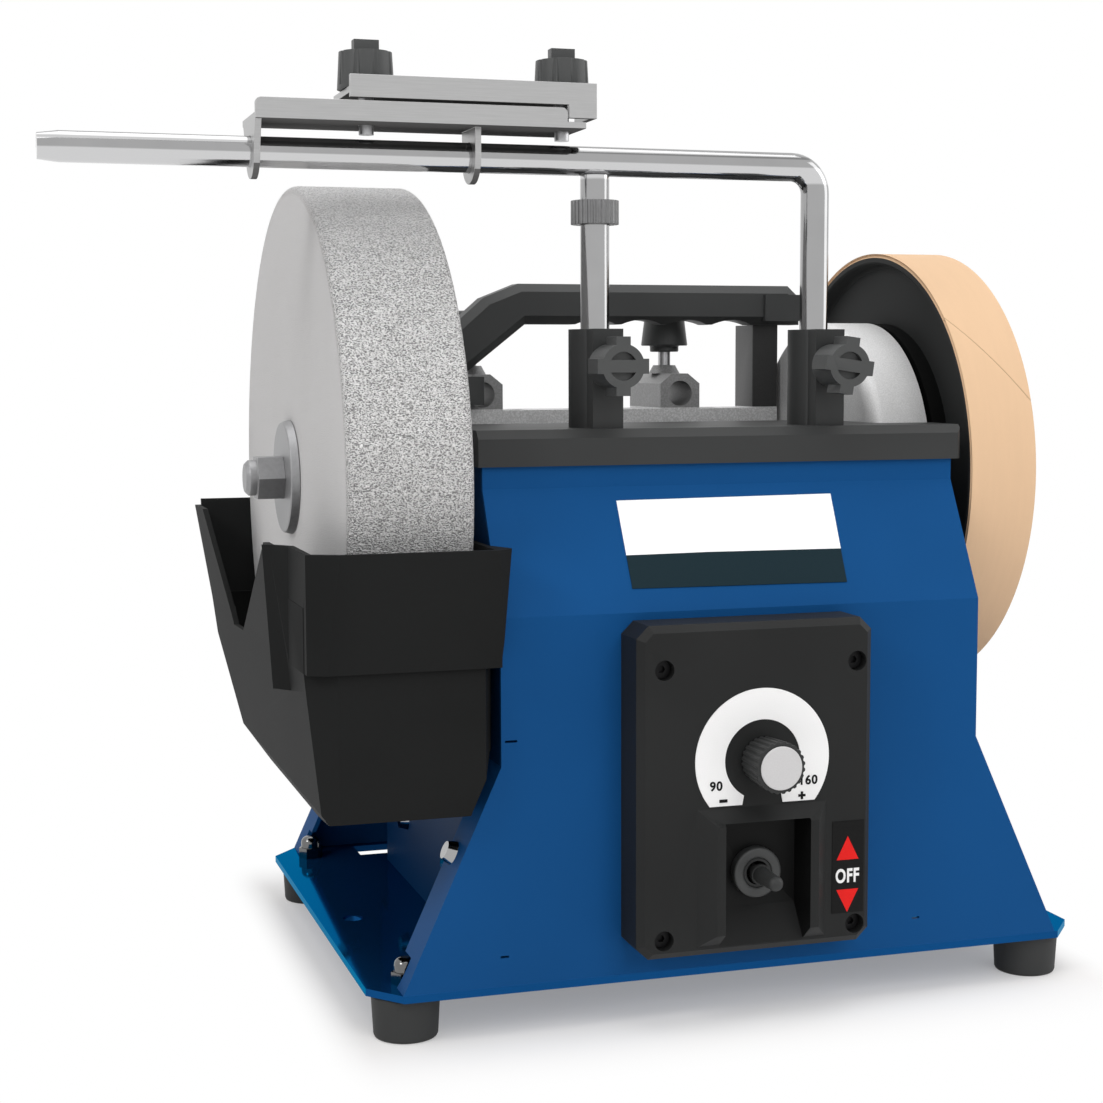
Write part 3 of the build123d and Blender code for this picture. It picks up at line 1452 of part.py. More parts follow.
with BuildPart() as trough_rib:
    with BuildSketch(Plane.XY.offset(axis_z + rim)) as rib_top:
        with Locations((stone_left + tray_left, tray_front)):
            Polygon((-2.2, 54), (6.5, 43.6), (12, 54), align=None)
    with BuildSketch(Plane.XY.offset(axis_z + step - 12)) as rib_low:
        with Locations((stone_left + tray_left, tray_front)):
            Polygon((1.4, 54), (10.3, 43.6), (16, 54), align=None)
    loft([rib_low.sketch, rib_top.sketch], ruled=True)
with BuildPart() as water_trough:
    add(tray_outside)
    add(nose_outside)
    add(well_outside)
    add(trough_rib.part)
    add(tray_inside, mode=Mode.SUBTRACT)
    add(well_inside, mode=Mode.SUBTRACT)
    with BuildSketch(Plane.XY.offset(axis_z + rim)):
        with Locations((stone_left, tray_rear - 8 - 250)):
            Rectangle(400, 500)
        with Locations((stone_left + tray_left + 3 - 50, 0)):
            Rectangle(100, 500)
    extrude(amount=60, mode=Mode.SUBTRACT)
    with BuildSketch(Plane.XY.offset(axis_z + rim + 3)):
        with Locations((stone_left, 0)):
            Rectangle(400, 500)
    extrude(amount=60, mode=Mode.SUBTRACT)
    with BuildSketch(Plane.YZ.offset(stone_left - 60)):
        Polygon(
            (tray_front + 64, axis_z + rim),
            (33, axis_z + step - 4),
            (62, axis_z + step - 5),
            (tray_rear - 30.6, axis_z + rim),
            (tray_rear - 30.6, axis_z + rim + 10),
            (tray_front + 64, axis_z + rim + 10),
            align=None,
        )
    extrude(amount=58, mode=Mode.SUBTRACT)
    with BuildSketch(Plane.XY.offset(axis_z + rim - trough_wall)):
        with Locations((stone_left + tray_right + 0.9, 0)):
            Rectangle(1.9, rail_length - 4)
    extrude(amount=trough_wall)
save(water_trough, "water_trough")

# The origin goes to the middle of the whole box; each piece is labelled and written to its file
boxes = [piece.bounding_box() for piece in pieces.values()]
middle_x = (min(box.min.X for box in boxes) + max(box.max.X for box in boxes)) / 2
middle_y = (min(box.min.Y for box in boxes) + max(box.max.Y for box in boxes)) / 2
for name, piece in pieces.items():
    placed = piece.moved(Location((-middle_x, -middle_y, 0)))
    placed.label = name
    export_step(placed, f"parts/{name}.step")
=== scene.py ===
import json
import math

import bmesh
import bpy
import numpy as np
from bpy.props import FloatProperty, FloatVectorProperty, PointerProperty
from mathutils import Matrix, Vector


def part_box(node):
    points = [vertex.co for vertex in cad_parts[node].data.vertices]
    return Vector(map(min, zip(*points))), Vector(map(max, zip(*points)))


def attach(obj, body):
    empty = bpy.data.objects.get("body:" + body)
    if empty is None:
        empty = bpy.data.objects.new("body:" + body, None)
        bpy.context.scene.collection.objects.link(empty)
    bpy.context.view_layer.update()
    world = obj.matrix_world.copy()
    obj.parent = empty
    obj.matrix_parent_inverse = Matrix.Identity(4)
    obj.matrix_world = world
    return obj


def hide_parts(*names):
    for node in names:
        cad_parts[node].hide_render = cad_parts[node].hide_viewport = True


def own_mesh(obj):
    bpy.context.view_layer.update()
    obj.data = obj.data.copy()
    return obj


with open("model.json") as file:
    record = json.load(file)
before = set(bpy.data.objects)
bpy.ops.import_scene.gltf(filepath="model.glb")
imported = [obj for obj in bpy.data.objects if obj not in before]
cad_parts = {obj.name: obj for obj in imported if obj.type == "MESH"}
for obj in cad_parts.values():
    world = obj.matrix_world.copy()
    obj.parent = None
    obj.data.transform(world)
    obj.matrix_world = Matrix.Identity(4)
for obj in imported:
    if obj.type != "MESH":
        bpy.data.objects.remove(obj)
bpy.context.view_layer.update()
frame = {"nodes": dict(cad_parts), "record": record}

bl_info = {
    "name": "Wet sharpening machine dressing",
    "version": (1, 0, 0),
    "blender": (4, 5, 0),
    "location": "View3D > Sidebar > Sharpener",
    "description": "Finishes, plates, printed marks and stage for the packed wet sharpening machine",
    "category": "Object",
}

# Places read off the solids; all lengths are metres unless a name ends in MM
STONE_LOW, STONE_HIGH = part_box("grindstone")
STROP_LOW, STROP_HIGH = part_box("leather_strop")
BASE_LOW, BASE_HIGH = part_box("base_plate")
CASTING_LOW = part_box("rear_sleeve_casting")[0]
BOX_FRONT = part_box("control_box")[0].y
BAR_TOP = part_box("support_bar")[1].z
SHAFT_Y = (STONE_LOW.y + STONE_HIGH.y) / 2
SHAFT_Z = (STONE_LOW.z + STONE_HIGH.z) / 2

# Sizes of the forms made here
SHAFT_BORE = 0.00602
STONE_RIM = 0.003
TREAD_ROWS, TREAD_COLUMNS = 58, 1008
GRAIN_SIZE, GRAIN_STEP = 0.0021, 0.00077
HOLLOW_MIDDLE, HOLLOW_SPREAD, HOLLOW_LIMIT = 0.0001, 0.00008, 0.0003
STROP_RIM = 0.0008
STROP_THICKNESS = 0.00178
JOINT_START = math.radians(46.8)
JOINT_LEAN = math.radians(0.79) / 0.001
JOINT_HALF = math.radians(0.3)
JOINT_DEPTH = 0.0002
WHEEL_BOSS = 0.0672
WHEEL_HUB = 0.02
WHEEL_DISH = 0.007
WHEEL_WEB = 0.011
WHEEL_RIM = 0.007
PRINT_THICKNESS = 0.0002
PLATE_THICKNESS = 0.0004

# Limits of the zones that the finishes tell apart; those of the bar, the wheel's boss and the casting
# bound painted light and shade
BAR_DIAMETER = 0.012
BOSS_SHADE_RADIUS = 0.0678
BOSS_SHADE_DEPTH = 0.0069
TREAD_RADII = (0.121, 0.1245)
CASTING_BAR_HEIGHT = 0.0133
CASTING_POST_X = 0.2329
CASTING_FRONT_DEPTH = 0.0008
PLATE_SPLIT = 0.374

# Angles between faces in degrees: smooth below, sharp or rounded above, one flat face if below the last
SMOOTH_ANGLE = 26.0
TROUGH_ANGLE = 24.0
REVOLVED_ANGLE = 40.0
FLAT_ANGLE = 0.4
MERGE_DISTANCE = 1e-6

WHITE = (1.0, 1.0, 1.0)

# Edge radii of softened copies; the others take the scene's setting
EDGES = {
    "feet": 0.0012,
    "rear_sleeve_casting": 0.0008,
    "stone_inner_flange": 0.0005,
    "stone_outer_flange": 0.0005,
    "stone_lock_nut": 0.0005,
    "honing_knob": 0.0010,
    "control_box": 0.0006,
    "speed_knob": 0.0003,
    "speed_knob_cap": 0.0004,
    "toggle_collar": 0.0005,
    "toggle_lever": 0.0003,
    "adjust_nut": 0.0003,
    "jig_base": 0.0007,
    "jig_clamp_plate": 0.0016,
    "jig_left_knob": 0.0004,
    "jig_right_knob": 0.0004,
    "water_trough": 0.0008,
}

# Nodes whose finish isn't the one named after their slot
OWN_FINISH = {
    "base_plate": "base_paint",
    "left_side_panel": "shaded_inner_paint",
    "foot_nuts": "cap_nut",
    "handle": "grip",
    "left_star_knob": "knob",
    "right_star_knob": "knob",
    "left_rear_knob": "knob",
    "right_rear_knob": "knob",
    "jig_left_knob": "knob",
    "jig_right_knob": "knob",
    "toggle_collar": "knob",
    "stone_inner_flange": "dull",
    "stone_outer_flange": "dull",
    "stone_lock_nut": "dull",
    "main_shaft": "dull",
    "drive_drum": "drum",
    "honing_wheel": "wheel",
    "control_box_screws": "screw",
    "adjust_nut": "knurled",
}

# Printed marks: millimetres from the stone's left face and the shaft, along x and z
SCALE_WORDS_MM = (("scale_low", "90", 141.5, -116.9), ("scale_high", "160", 180.95, -116.9))
SCALE_WORD_SIZE = 0.0051
MINUS_MM = (144.6, -122.8)
PLUS_MM = (178.3, -122.8)
LABEL_MM = (198.95, -153.6)
OFF_MM = (198.65, -157.5)
OFF_SIZE = 0.0078
OFF_SQUEEZE = 0.72
ARROW_X_MM = (193.9, 203.6, 198.75)
ARROWS_MM = (("switch_up", -140.95, -150.6), ("switch_down", -172.2, -162.8))

# Bare plate: its corners along x and z, and the sloped front it lies on
PLATE_CORNERS_MM = ((115.6, -40.4), (209.2, -41.0), (210.0, -5.8), (115.0, -6.5))
SLOPE_TOP_MM = (-98.5, -0.8)
SLOPE = 25.5 / 48.6

# Stage
FLOOR_SPAN = 6.0
AIM = Vector((-0.02, -0.02, 0.18))
LAMPS = (
    ("key", (0.2, -1.7, 1.25), (1.3, 1.3)),
    ("top", (-0.1, 0.1, 1.9), (1.8, 1.8)),
    ("side", (1.6, -0.3, 0.9), (1.0, 1.4)),
    ("left", (-1.5, -0.7, 1.3), (0.6, 0.6)),
)
CAMERA_MM = (-143.9, -847.3, 49.1)
CAMERA_YAW, CAMERA_PITCH, CAMERA_ROLL = 17.238, 5.506, -0.182
SENSOR_WIDTH = 36.0
FOCAL_PIXELS, PHOTO_PIXELS = 1953.0, 1103.0


class Wire:
    """A socket of a node tree; arithmetic on it adds Math nodes."""

    def __init__(self, graph, socket):
        self.graph = graph
        self.socket = socket

    def math(self, operation, *others):
        """One Math node with this socket first."""
        return self.graph.maths(operation, self, *others)

    def __add__(self, other):
        return self.math("ADD", other)

    __radd__ = __add__

    def __sub__(self, other):
        return self.math("SUBTRACT", other)

    def __rsub__(self, other):
        return self.graph.maths("SUBTRACT", other, self)

    def __mul__(self, other):
        return self.math("MULTIPLY", other)

    __rmul__ = __mul__

    def __truediv__(self, other):
        return self.math("DIVIDE", other)

    def __abs__(self):
        return self.math("ABSOLUTE")

    def __gt__(self, other):
        return self.math("GREATER_THAN", other)

    def __lt__(self, other):
        return self.math("LESS_THAN", other)

    def rise(self, low, high):
        """Smooth step from 0 at low to 1 at high."""
        settings = {"interpolation_type": "SMOOTHSTEP", "clamp": True}
        ends = {0: self, 1: low, 2: high, 3: 0.0, 4: 1.0}
        return self.graph.node("ShaderNodeMapRange", settings, ends)


class Graph:
    """A node tree whose nodes are all made by one method."""

    def __init__(self, tree):
        self.tree = tree
        tree.nodes.clear()

    def feed(self, socket, value):
        """Put a link, a colour or a number on a socket."""
        if isinstance(value, Wire):
            self.tree.links.new(value.socket, socket)
        elif isinstance(value, tuple) and len(value) == 3 and socket.type == "RGBA":
            socket.default_value = (*value, 1.0)
        else:
            socket.default_value = value

    def make(self, kind, settings=None, inputs=None):
        """Any node by type: settings first, then the values or links of its sockets."""
        made = self.tree.nodes.new(kind)
        for key, value in (settings or {}).items():
            setattr(made, key, value)
        for key, value in (inputs or {}).items():
            self.feed(made.inputs[key], value)
        return made

    def node(self, kind, settings=None, inputs=None, output=0):
        """One output of a new node."""
        return Wire(self, self.make(kind, settings, inputs).outputs[output])

    def maths(self, operation, *values):
        """A Math node on up to three values."""
        return self.node("ShaderNodeMath", {"operation": operation}, dict(enumerate(values)))

    def direct(self):
        """1 for what the camera sees, straight, mirrored or through glass, and 0 for stray light."""
        rays = self.make("ShaderNodeLightPath").outputs
        seen = Wire(self, rays["Is Camera Ray"])
        for kind in ("Is Glossy Ray", "Is Transmission Ray"):
            seen = seen.math("MAXIMUM", Wire(self, rays[kind]))
        return seen

    def blend(self, amount, first, second):
        """A Mix Shader node between two shaders."""
        return self.node("ShaderNodeMixShader", None, {0: amount, 1: first, 2: second})


class Finish(Graph):
    """A material with one Principled shader and the patterns that drive it."""

    def __init__(self, name, **constants):
        self.material = bpy.data.materials.new(name)
        self.material.use_nodes = True
        super().__init__(self.material.node_tree)
        self.shader = self.make("ShaderNodeBsdfPrincipled")
        self.surface = Wire(self, self.shader.outputs[0])
        self.out = self.make("ShaderNodeOutputMaterial", None, {0: self.surface})
        self.set(**constants)
        spots = self.make("ShaderNodeTexCoord").outputs
        self.place, self.uv = Wire(self, spots["Object"]), Wire(self, spots["UV"])

    def set(self, **values):
        """Set or drive sockets of the shader."""
        for socket, value in values.items():
            self.feed(self.shader.inputs[socket.replace("_", " ")], value)

    def dim(self):
        """How much painted shade a face takes, read from the mesh; it stands for the shade of its
        neighbours.
        """
        return self.node("ShaderNodeAttribute", {"attribute_name": "dim"}, output=2)

    def noise(self, scale, detail=2.0, roughness=0.5, at=None, distortion=0.0):
        """Grain of a given frequency per metre."""
        inputs = {"Scale": scale, "Detail": detail, "Roughness": roughness, "Distortion": distortion}
        return self.node("ShaderNodeTexNoise", None, {"Vector": at or self.place, **inputs})

    def cells(self, scale):
        """Distance to scattered points of a given frequency per metre."""
        return self.node("ShaderNodeTexVoronoi", None, {"Vector": self.place, "Scale": scale})

    def stretched(self, scale):
        """The coordinates multiplied axis by axis."""
        return self.node("ShaderNodeMapping", None, {"Vector": self.place, "Scale": scale})

    def axes(self, vector=None):
        """The three coordinates of a point as separate numbers."""
        split = self.make("ShaderNodeSeparateXYZ", None, {0: vector or self.place})
        return [Wire(self, socket) for socket in split.outputs]

    def from_shaft(self, y, z):
        """Distance from the shaft's middle line."""
        y, z = y - SHAFT_Y, z - SHAFT_Z
        return (y * y + z * z).math("SQRT")

    def mix(self, amount, first, second):
        """Colour between two colours."""
        ends = {0: amount, 6: first, 7: second}
        return self.node("ShaderNodeMix", {"data_type": "RGBA"}, ends, output=2)

    def clouded(self, cloud, colour, low, high):
        """A colour that drifts between two of its tones."""
        return self.mix(cloud.rise(0.3, 0.7), tone(colour, low), tone(colour, high))

    def bump(self, height, strength, distance):
        """A Bump node on the height, straight into the shader's Normal."""
        inputs = {"Height": height, "Strength": strength, "Distance": distance}
        self.set(Normal=self.node("ShaderNodeBump", None, inputs))


def tone(colour, factor):
    """A colour made lighter or darker."""
    return tuple(min(1.0, c * factor) for c in colour)


def grey(level):
    """A neutral colour."""
    return (level, level, level)


def look():
    """The look settings of this scene."""
    return bpy.context.scene.sharpener_look


def powder_coat(name, factor, drift, peel):
    """Satin powder coat: even blue with a fine orange-peel skin."""
    f = Finish(name, Specular_IOR_Level=0.05)
    skin = f.noise(1500.0, 2.0)
    colour = tone(look().blue, factor)
    f.set(Base_Color=f.clouded(f.noise(9.0, 3.0), colour, 1 - drift, 1 + drift))
    f.set(Roughness=0.46 + 0.08 * skin)
    f.bump(skin + peel * f.noise(420.0, 1.0), 0.12, 0.0002)
    return f


def glossy_coat():
    """Floor sheet: the same paint laid on glossy, so that it mirrors what stands on it."""
    tint = (0.2, 0.66, 0.94)
    f = Finish("glossy blue coat", Metallic=0.7, Specular_IOR_Level=0.0, Specular_Tint=tint)
    cloud = f.noise(9.0, 3.0)
    f.set(Base_Color=f.clouded(cloud, look().blue, 0.95, 1.05))
    f.set(Roughness=0.05 + 0.03 * cloud)
    f.bump(f.noise(300.0, 1.0), 0.02, 0.0001)
    return f


def moulded(name, colour, rough, grain, gloss=0.25, shade=Finish.dim, deep=0.1):
    """Moulding with a fine spark-eroded grain; where shade is 1 its colour falls by the factor deep, as
    painted shade.
    """
    f = Finish(name, Specular_IOR_Level=gloss)
    speck = f.noise(grain, 3.0, 0.6)
    tint = f.clouded(f.noise(14.0, 2.0), colour, 0.9, 1.12)
    f.set(Base_Color=f.mix(shade(f), tint, tone(colour, deep)))
    f.set(Roughness=rough + 0.12 * speck)
    f.bump(speck, 0.16, 0.00018)
    return f


def moulded_black(name, factor, *values):
    """Moulding in a tone of the scene's black."""
    return moulded(name, tone(look().black, factor), *values)


def boss_painted_shade(f):
    """Painted shade on the boss of the honing wheel, left of its web."""
    x, y, z = f.axes()
    return (f.from_shaft(y, z) < BOSS_SHADE_RADIUS) * (x < STROP_LOW.x + BOSS_SHADE_DEPTH)


def hazed(name, constants, grain, dark, light, rough, bump=None):
    """Plain finish: one noise moves its colour between two tones and its roughness with it."""
    f = Finish(name, **constants)
    haze = f.noise(*grain)
    f.set(Base_Color=f.mix(haze, dark, light))
    f.set(Roughness=rough[0] + rough[1] * haze)
    if bump:
        f.bump(haze, *bump)
    return f


def plated(name, metallic, scale, dark, light, rough, bump=None):
    """Hazy metal."""
    return hazed(name, {"Metallic": metallic}, (scale, 3.0, 0.6), dark, light, rough, bump)


def printed(name, gloss, scale, dark, light, rough):
    """Ink or smooth plastic."""
    return hazed(name, {"Specular_IOR_Level": gloss}, (scale, 2.0), dark, light, (rough, 0.1))


def bonded_grindstone():
    """Bonded grit: rolled grain on the tread, finer on the flat sides, pale crumbs, dark pores; painted
    shade darkens the tread towards its bottom and a painted highlight pales it at the top.
    """
    pale = tuple(look().stone)
    f = Finish("bonded grindstone", Specular_IOR_Level=0.2)
    _, y, z = f.axes()
    tread = f.from_shaft(y, z).rise(*TREAD_RADII)
    coarse = f.noise(2100.0, 1.0, 0.5, f.stretched((0.6, 1.0, 1.0)), 0.25)
    fine = f.noise(2600.0, 3.0, 0.65)
    pores = 1.0 - f.cells(1300.0).rise(0.0, 0.42)
    stain = f.noise(16.0, 4.0, 0.6)
    side_mix = 0.7 * coarse.rise(0.3, 0.7) + 0.3 * stain
    side_tint = f.mix(side_mix, tone(pale, 0.89), tone(pale, 1.13))
    # Painted shade: the tread coloured darker towards its bottom; painted highlight: paler at its top.
    painted_low_shade = 1.0 - z.rise(SHAFT_Z - 0.06, SHAFT_Z + 0.04)
    painted_top_light = z.rise(SHAFT_Z + 0.08, SHAFT_Z + 0.12)
    tread_tint = f.mix(coarse.rise(0.34, 0.58), tone(pale, 0.46), tone(pale, 1.66))
    tread_tint = f.mix(0.45 * painted_low_shade, tread_tint, tone(pale, 0.5))
    tread_tint = f.mix(0.5 * painted_top_light, tread_tint, tone(pale, 1.66))
    tint = f.mix(tread, side_tint, tread_tint)
    tint = f.mix(pores * (0.1 + 0.2 * tread), tint, tone(pale, 0.6))
    f.set(Base_Color=f.mix(0.3 * fine.rise(0.55, 0.75), tint, tone(pale, 1.2)))
    f.set(Roughness=0.62 + 0.2 * fine)
    f.bump((0.15 + 0.85 * tread) * coarse + 0.12 * fine, 1.0, 0.0026)
    return f


def tanned_leather():
    """Vegetable-tanned strop: fine grain, faint rub marks along the tread, a slanted glued joint."""
    colour = tuple(look().leather)
    f = Finish("tan leather", Specular_IOR_Level=0.2)
    grain = f.noise(1900.0, 3.0, 0.65)
    rub = f.noise(60.0, 3.0, 0.6, f.stretched((6.0, 0.6, 0.6)))
    tint = f.mix(rub.rise(0.3, 0.72), tone(colour, 0.99), tone(colour, 1.01))
    tint = f.mix(0.18 * grain.rise(0.55, 0.8), tint, tone(colour, 0.8))
    seam = abs(f.axes(f.uv)[0] - 0.5).rise(0.4989, 0.4996)
    f.set(Base_Color=f.mix(seam, tint, tone(colour, 0.74)))
    f.set(Roughness=0.66 + 0.14 * grain)
    f.bump(grain + 0.2 * rub, 0.14, 0.0002)
    return f


def cast_aluminium():
    """Sand-cast alloy with a tight mottled skin; its sleeves are darker, its post darker again as
    painted shade, darkest in front.
    """
    f = Finish("cast aluminium", Metallic=0.75)
    skin = f.noise(1300.0, 3.0, 0.6)
    tint = f.mix(skin.rise(0.35, 0.7), (0.5, 0.5, 0.502), (0.76, 0.76, 0.765))
    tint = f.mix(0.4 * f.noise(40.0, 2.0), tint, (0.62, 0.62, 0.625))
    x, y, z = f.axes()
    upper = z > CASTING_LOW.z + CASTING_BAR_HEIGHT
    post = (x > STONE_LOW.x + CASTING_POST_X) * upper
    front = y < CASTING_LOW.y + CASTING_FRONT_DEPTH
    tint = f.mix(0.62 * upper, tint, grey(0.08))
    # Painted shade: the post is coloured darker, its front face darker still.
    f.set(Base_Color=f.mix(post * (0.68 + 0.25 * front), tint, grey(0.03)))
    f.set(Roughness=0.42 + 0.2 * skin)
    f.bump(skin, 0.35, 0.0003)
    return f


def blasted_drum():
    """Drive drum: pale shot-blasted alloy."""
    f = Finish("blasted drum", Metallic=0.6)
    skin = f.noise(2100.0, 3.0, 0.65)
    f.set(Base_Color=f.mix(skin.rise(0.32, 0.68), grey(0.56), grey(0.7)))
    f.set(Roughness=0.55 + 0.2 * skin)
    f.bump(skin, 0.3, 0.00025)
    return f


def bright_chrome():
    """Polished plating; on the level bar a painted reflection: a dark rim and belt and a pale belly."""
    f = Finish("bright chrome", Metallic=1.0)
    haze = f.noise(45.0, 3.0, 0.6)
    depth = (BAR_TOP - f.axes()[2]) / BAR_DIAMETER
    # Painted reflection on the bar: a dark rim at its top, a dark belt under the highlight and a pale
    # lower half.
    rim = 1.0 - depth.rise(0.03, 0.07)
    painted_shade_belt = depth.rise(0.16, 0.19) * (1.0 - depth.rise(0.25, 0.29))
    painted_light_belly = depth.rise(0.52, 0.58) * (1.0 - depth.rise(1.05, 1.15))
    tint = f.mix(haze, (0.34, 0.34, 0.342), (0.41, 0.41, 0.412))
    tint = f.mix(painted_light_belly, tint, (0.62, 0.62, 0.625))
    f.set(Base_Color=f.mix(0.5 * rim.math("MAXIMUM", painted_shade_belt), tint, grey(0.06)))
    f.set(Roughness=0.08 + 0.06 * haze)
    f.bump(f.noise(160.0, 1.0), 0.03, 0.0001)
    return f


def jig_plate():
    """Satin plated sheet: fine brushing along the jig; underneath, painted shade in dark grey without
    metal.
    """
    f = Finish("satin plated sheet", Specular_IOR_Level=0.0)
    brush = f.noise(2600.0, 2.0, 0.6, f.stretched((0.03, 1.0, 1.0)))
    dim = f.dim()
    f.set(Base_Color=f.mix(dim, f.mix(brush, grey(0.4), grey(0.5)), grey(0.12)))
    f.set(Metallic=0.9 - 0.9 * dim)
    f.set(Roughness=0.3 + 0.12 * brush)
    f.bump(brush, 0.06, 0.0001)
    return f


def circuit_laminate():
    """Green circuit laminate with pale pads."""
    f = Finish("circuit laminate", Specular_IOR_Level=0.5)
    f.set(Base_Color=f.mix(f.cells(260.0) < 0.18, (0.02, 0.14, 0.06), (0.4, 0.42, 0.36)))
    f.set(Roughness=0.35 + 0.2 * f.noise(900.0))
    return f


def two_band_plate():
    """Bare plate: white above, slate below."""
    f = Finish("two-band plate", Specular_IOR_Level=0.0)
    speck = f.noise(2200.0, 2.0)
    white = f.mix(speck, (0.92, 0.93, 0.93), grey(0.97))
    slate = f.mix(speck, (0.014, 0.027, 0.034), (0.018, 0.033, 0.041))
    f.set(Base_Color=f.mix(f.axes(f.uv)[1] < PLATE_SPLIT, white, slate))
    f.set(Roughness=0.3 + 0.1 * speck)
    return f


# Finishes by name: the function that makes one, then its values
MAKERS = {
    "blue_paint": (powder_coat, "blue powder coat", 1.0, 0.05, 0.4),
    # The left side panel's blue at half tone: painted shade, as it lies under the trough.
    "shaded_inner_paint": (powder_coat, "thin blue coat", 0.5, 0.08, 0.0),
    "base_paint": (glossy_coat,),
    "black_plastic": (moulded_black, "black moulding", 1.0, 0.42, 2600.0),
    # The handle: the black in a lighter tone.
    "grip": (moulded_black, "rubbed moulding", 1.5, 0.42, 2600.0),
    "box_plastic": (moulded_black, "control box moulding", 0.5, 0.42, 2300.0, 0.16),
    "trough_plastic": (moulded_black, "trough moulding", 0.42, 0.55, 1500.0, 0.05),
    "foot_rubber": (moulded_black, "moulded rubber", 1.2, 0.6, 3200.0),
    "knob": (moulded_black, "knob nylon", 1.9, 0.36, 1900.0, 0.35),
    # The wheel's boss beside the drum is coloured darker as painted shade.
    "wheel": (moulded_black, "wheel moulding", 0.95, 0.5, 2400.0, 0.1, boss_painted_shade, 0.12),
    # Screws near black, darker than the mouldings: partly their own black, partly painted shade of the
    # recesses they sit in.
    "screw": (moulded, "blackened screw", (0.006, 0.006, 0.0065), 0.3, 1200.0, 0.15),
    "motor_paint": (moulded, "motor paint", (0.06, 0.062, 0.066), 0.45, 1800.0),
    "grey_stone": (bonded_grindstone,),
    "tan_leather": (tanned_leather,),
    "cast_aluminium": (cast_aluminium,),
    "drum": (blasted_drum,),
    "bright_chrome": (bright_chrome,),
    "jig_steel": (jig_plate,),
    "board_green": (circuit_laminate,),
    "plate_film": (two_band_plate,),
    "bright_steel": (
        plated, "turned steel", 1.0, 300.0,
        (0.42, 0.42, 0.43), (0.56, 0.56, 0.57), (0.24, 0.14), (0.08, 0.0001),
    ),
    "dull": (
        plated, "dull plating", 0.85, 420.0,
        (0.24, 0.24, 0.245), (0.34, 0.34, 0.345), (0.36, 0.16), (0.1, 0.0001),
    ),
    "knurled": (
        plated, "knurled steel", 0.9, 500.0,
        (0.17, 0.17, 0.172), (0.23, 0.23, 0.232), (0.3, 0.14), (0.1, 0.0001),
    ),
    "cap_nut": (plated, "nut plating", 1.0, 90.0, grey(0.13), grey(0.19), (0.09, 0.06)),
    "bush_bronze": (
        hazed, "sintered bronze", {"Metallic": 0.9}, (1800.0, 3.0),
        (0.3, 0.19, 0.08), (0.48, 0.32, 0.15), (0.4, 0.2),
    ),
    "white_print": (printed, "white print", 0.4, 2600.0, grey(0.8), grey(0.88), 0.34),
    "black_print": (printed, "black print", 0.05, 2600.0, grey(0.008), grey(0.016), 0.4),
    "red_print": (printed, "red print", 0.1, 2600.0, (0.7, 0.012, 0.012), (0.78, 0.02, 0.016), 0.36),
    "grey_cap": (printed, "pale cap", 0.45, 1800.0, (0.5, 0.495, 0.5), (0.58, 0.575, 0.58), 0.3),
}
FINISHES = {}
NODE_SLOT = {entry["node"]: entry["material_slot"] for entry in frame["record"]["subparts"]}
NODE_BODY = {
    node: body for body, nodes in frame["record"]["behaviour"]["bodies"].items() for node in nodes
}


def finish(name):
    """The material of that name, made on first use."""
    if name not in FINISHES:
        maker, *values = MAKERS[name]
        FINISHES[name] = maker(*values).material
    return FINISHES[name]


def node_finish(node):
    """The material of a node."""
    return finish(OWN_FINISH.get(node, NODE_SLOT[node]))


def link_piece(name, mesh, body, material):
    """Put a finished mesh in the scene on its body, with its finish."""
    piece = bpy.data.objects.new(name, mesh)
    bpy.context.scene.collection.objects.link(piece)
    piece.data.materials.clear()
    piece.data.materials.append(material)
    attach(piece, body)
    return piece


def stand_in(node, name, mesh):
    """A piece that stands for a solid, on its body and slot and with its finish."""
    piece = link_piece(name, mesh, NODE_BODY[node], node_finish(node))
    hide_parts(node)
    return piece


def print_piece(name, mesh, material):
    """A printed or stuck-on piece of the housing."""
    return link_piece(name, mesh, "housing", material)


def smooth(mesh, angle):
    """Smooth faces, sharp where they meet at more than the angle."""
    mesh.polygons.foreach_set("use_smooth", np.ones(len(mesh.polygons), dtype=bool))
    mesh.set_sharp_from_angle(angle=math.radians(angle))


def dress(*nodes):
    """Give carried-over solids their finishes."""
    for node in nodes:
        piece = frame["nodes"][node]
        material = node_finish(node)
        if not piece.material_slots:
            piece.data.materials.append(material)
        for slot in piece.material_slots:
            slot.material = material


def copied(node, angle=SMOOTH_ANGLE):
    """A copy of a solid with its facets merged and its curved faces smooth; it stands for the solid."""
    shape = bmesh.new()
    shape.from_mesh(frame["nodes"][node].data)
    bmesh.ops.remove_doubles(shape, verts=shape.verts, dist=MERGE_DISTANCE)
    bmesh.ops.dissolve_limit(
        shape,
        angle_limit=math.radians(FLAT_ANGLE),
        use_dissolve_boundaries=False,
        verts=shape.verts,
        edges=shape.edges,
        delimit=set(),
    )
    mesh = bpy.data.meshes.new(node + "_soft")
    shape.to_mesh(mesh)
    shape.free()
    smooth(mesh, angle)
    return stand_in(node, node + "_dressed", mesh)


def softened(node, angle=SMOOTH_ANGLE, segments=2):
    """A copy of a solid whose sharp edges are rounded."""
    piece = copied(node, angle)
    bevel = piece.modifiers.new("edge", "BEVEL")
    bevel.width = EDGES.get(node, look().edge)
    bevel.segments = segments
    bevel.limit_method = "ANGLE"
    bevel.angle_limit = math.radians(angle)
    bevel.use_clamp_overlap = True
    bevel.harden_normals = False
    bevel.miter_outer = "MITER_ARC"
    return piece


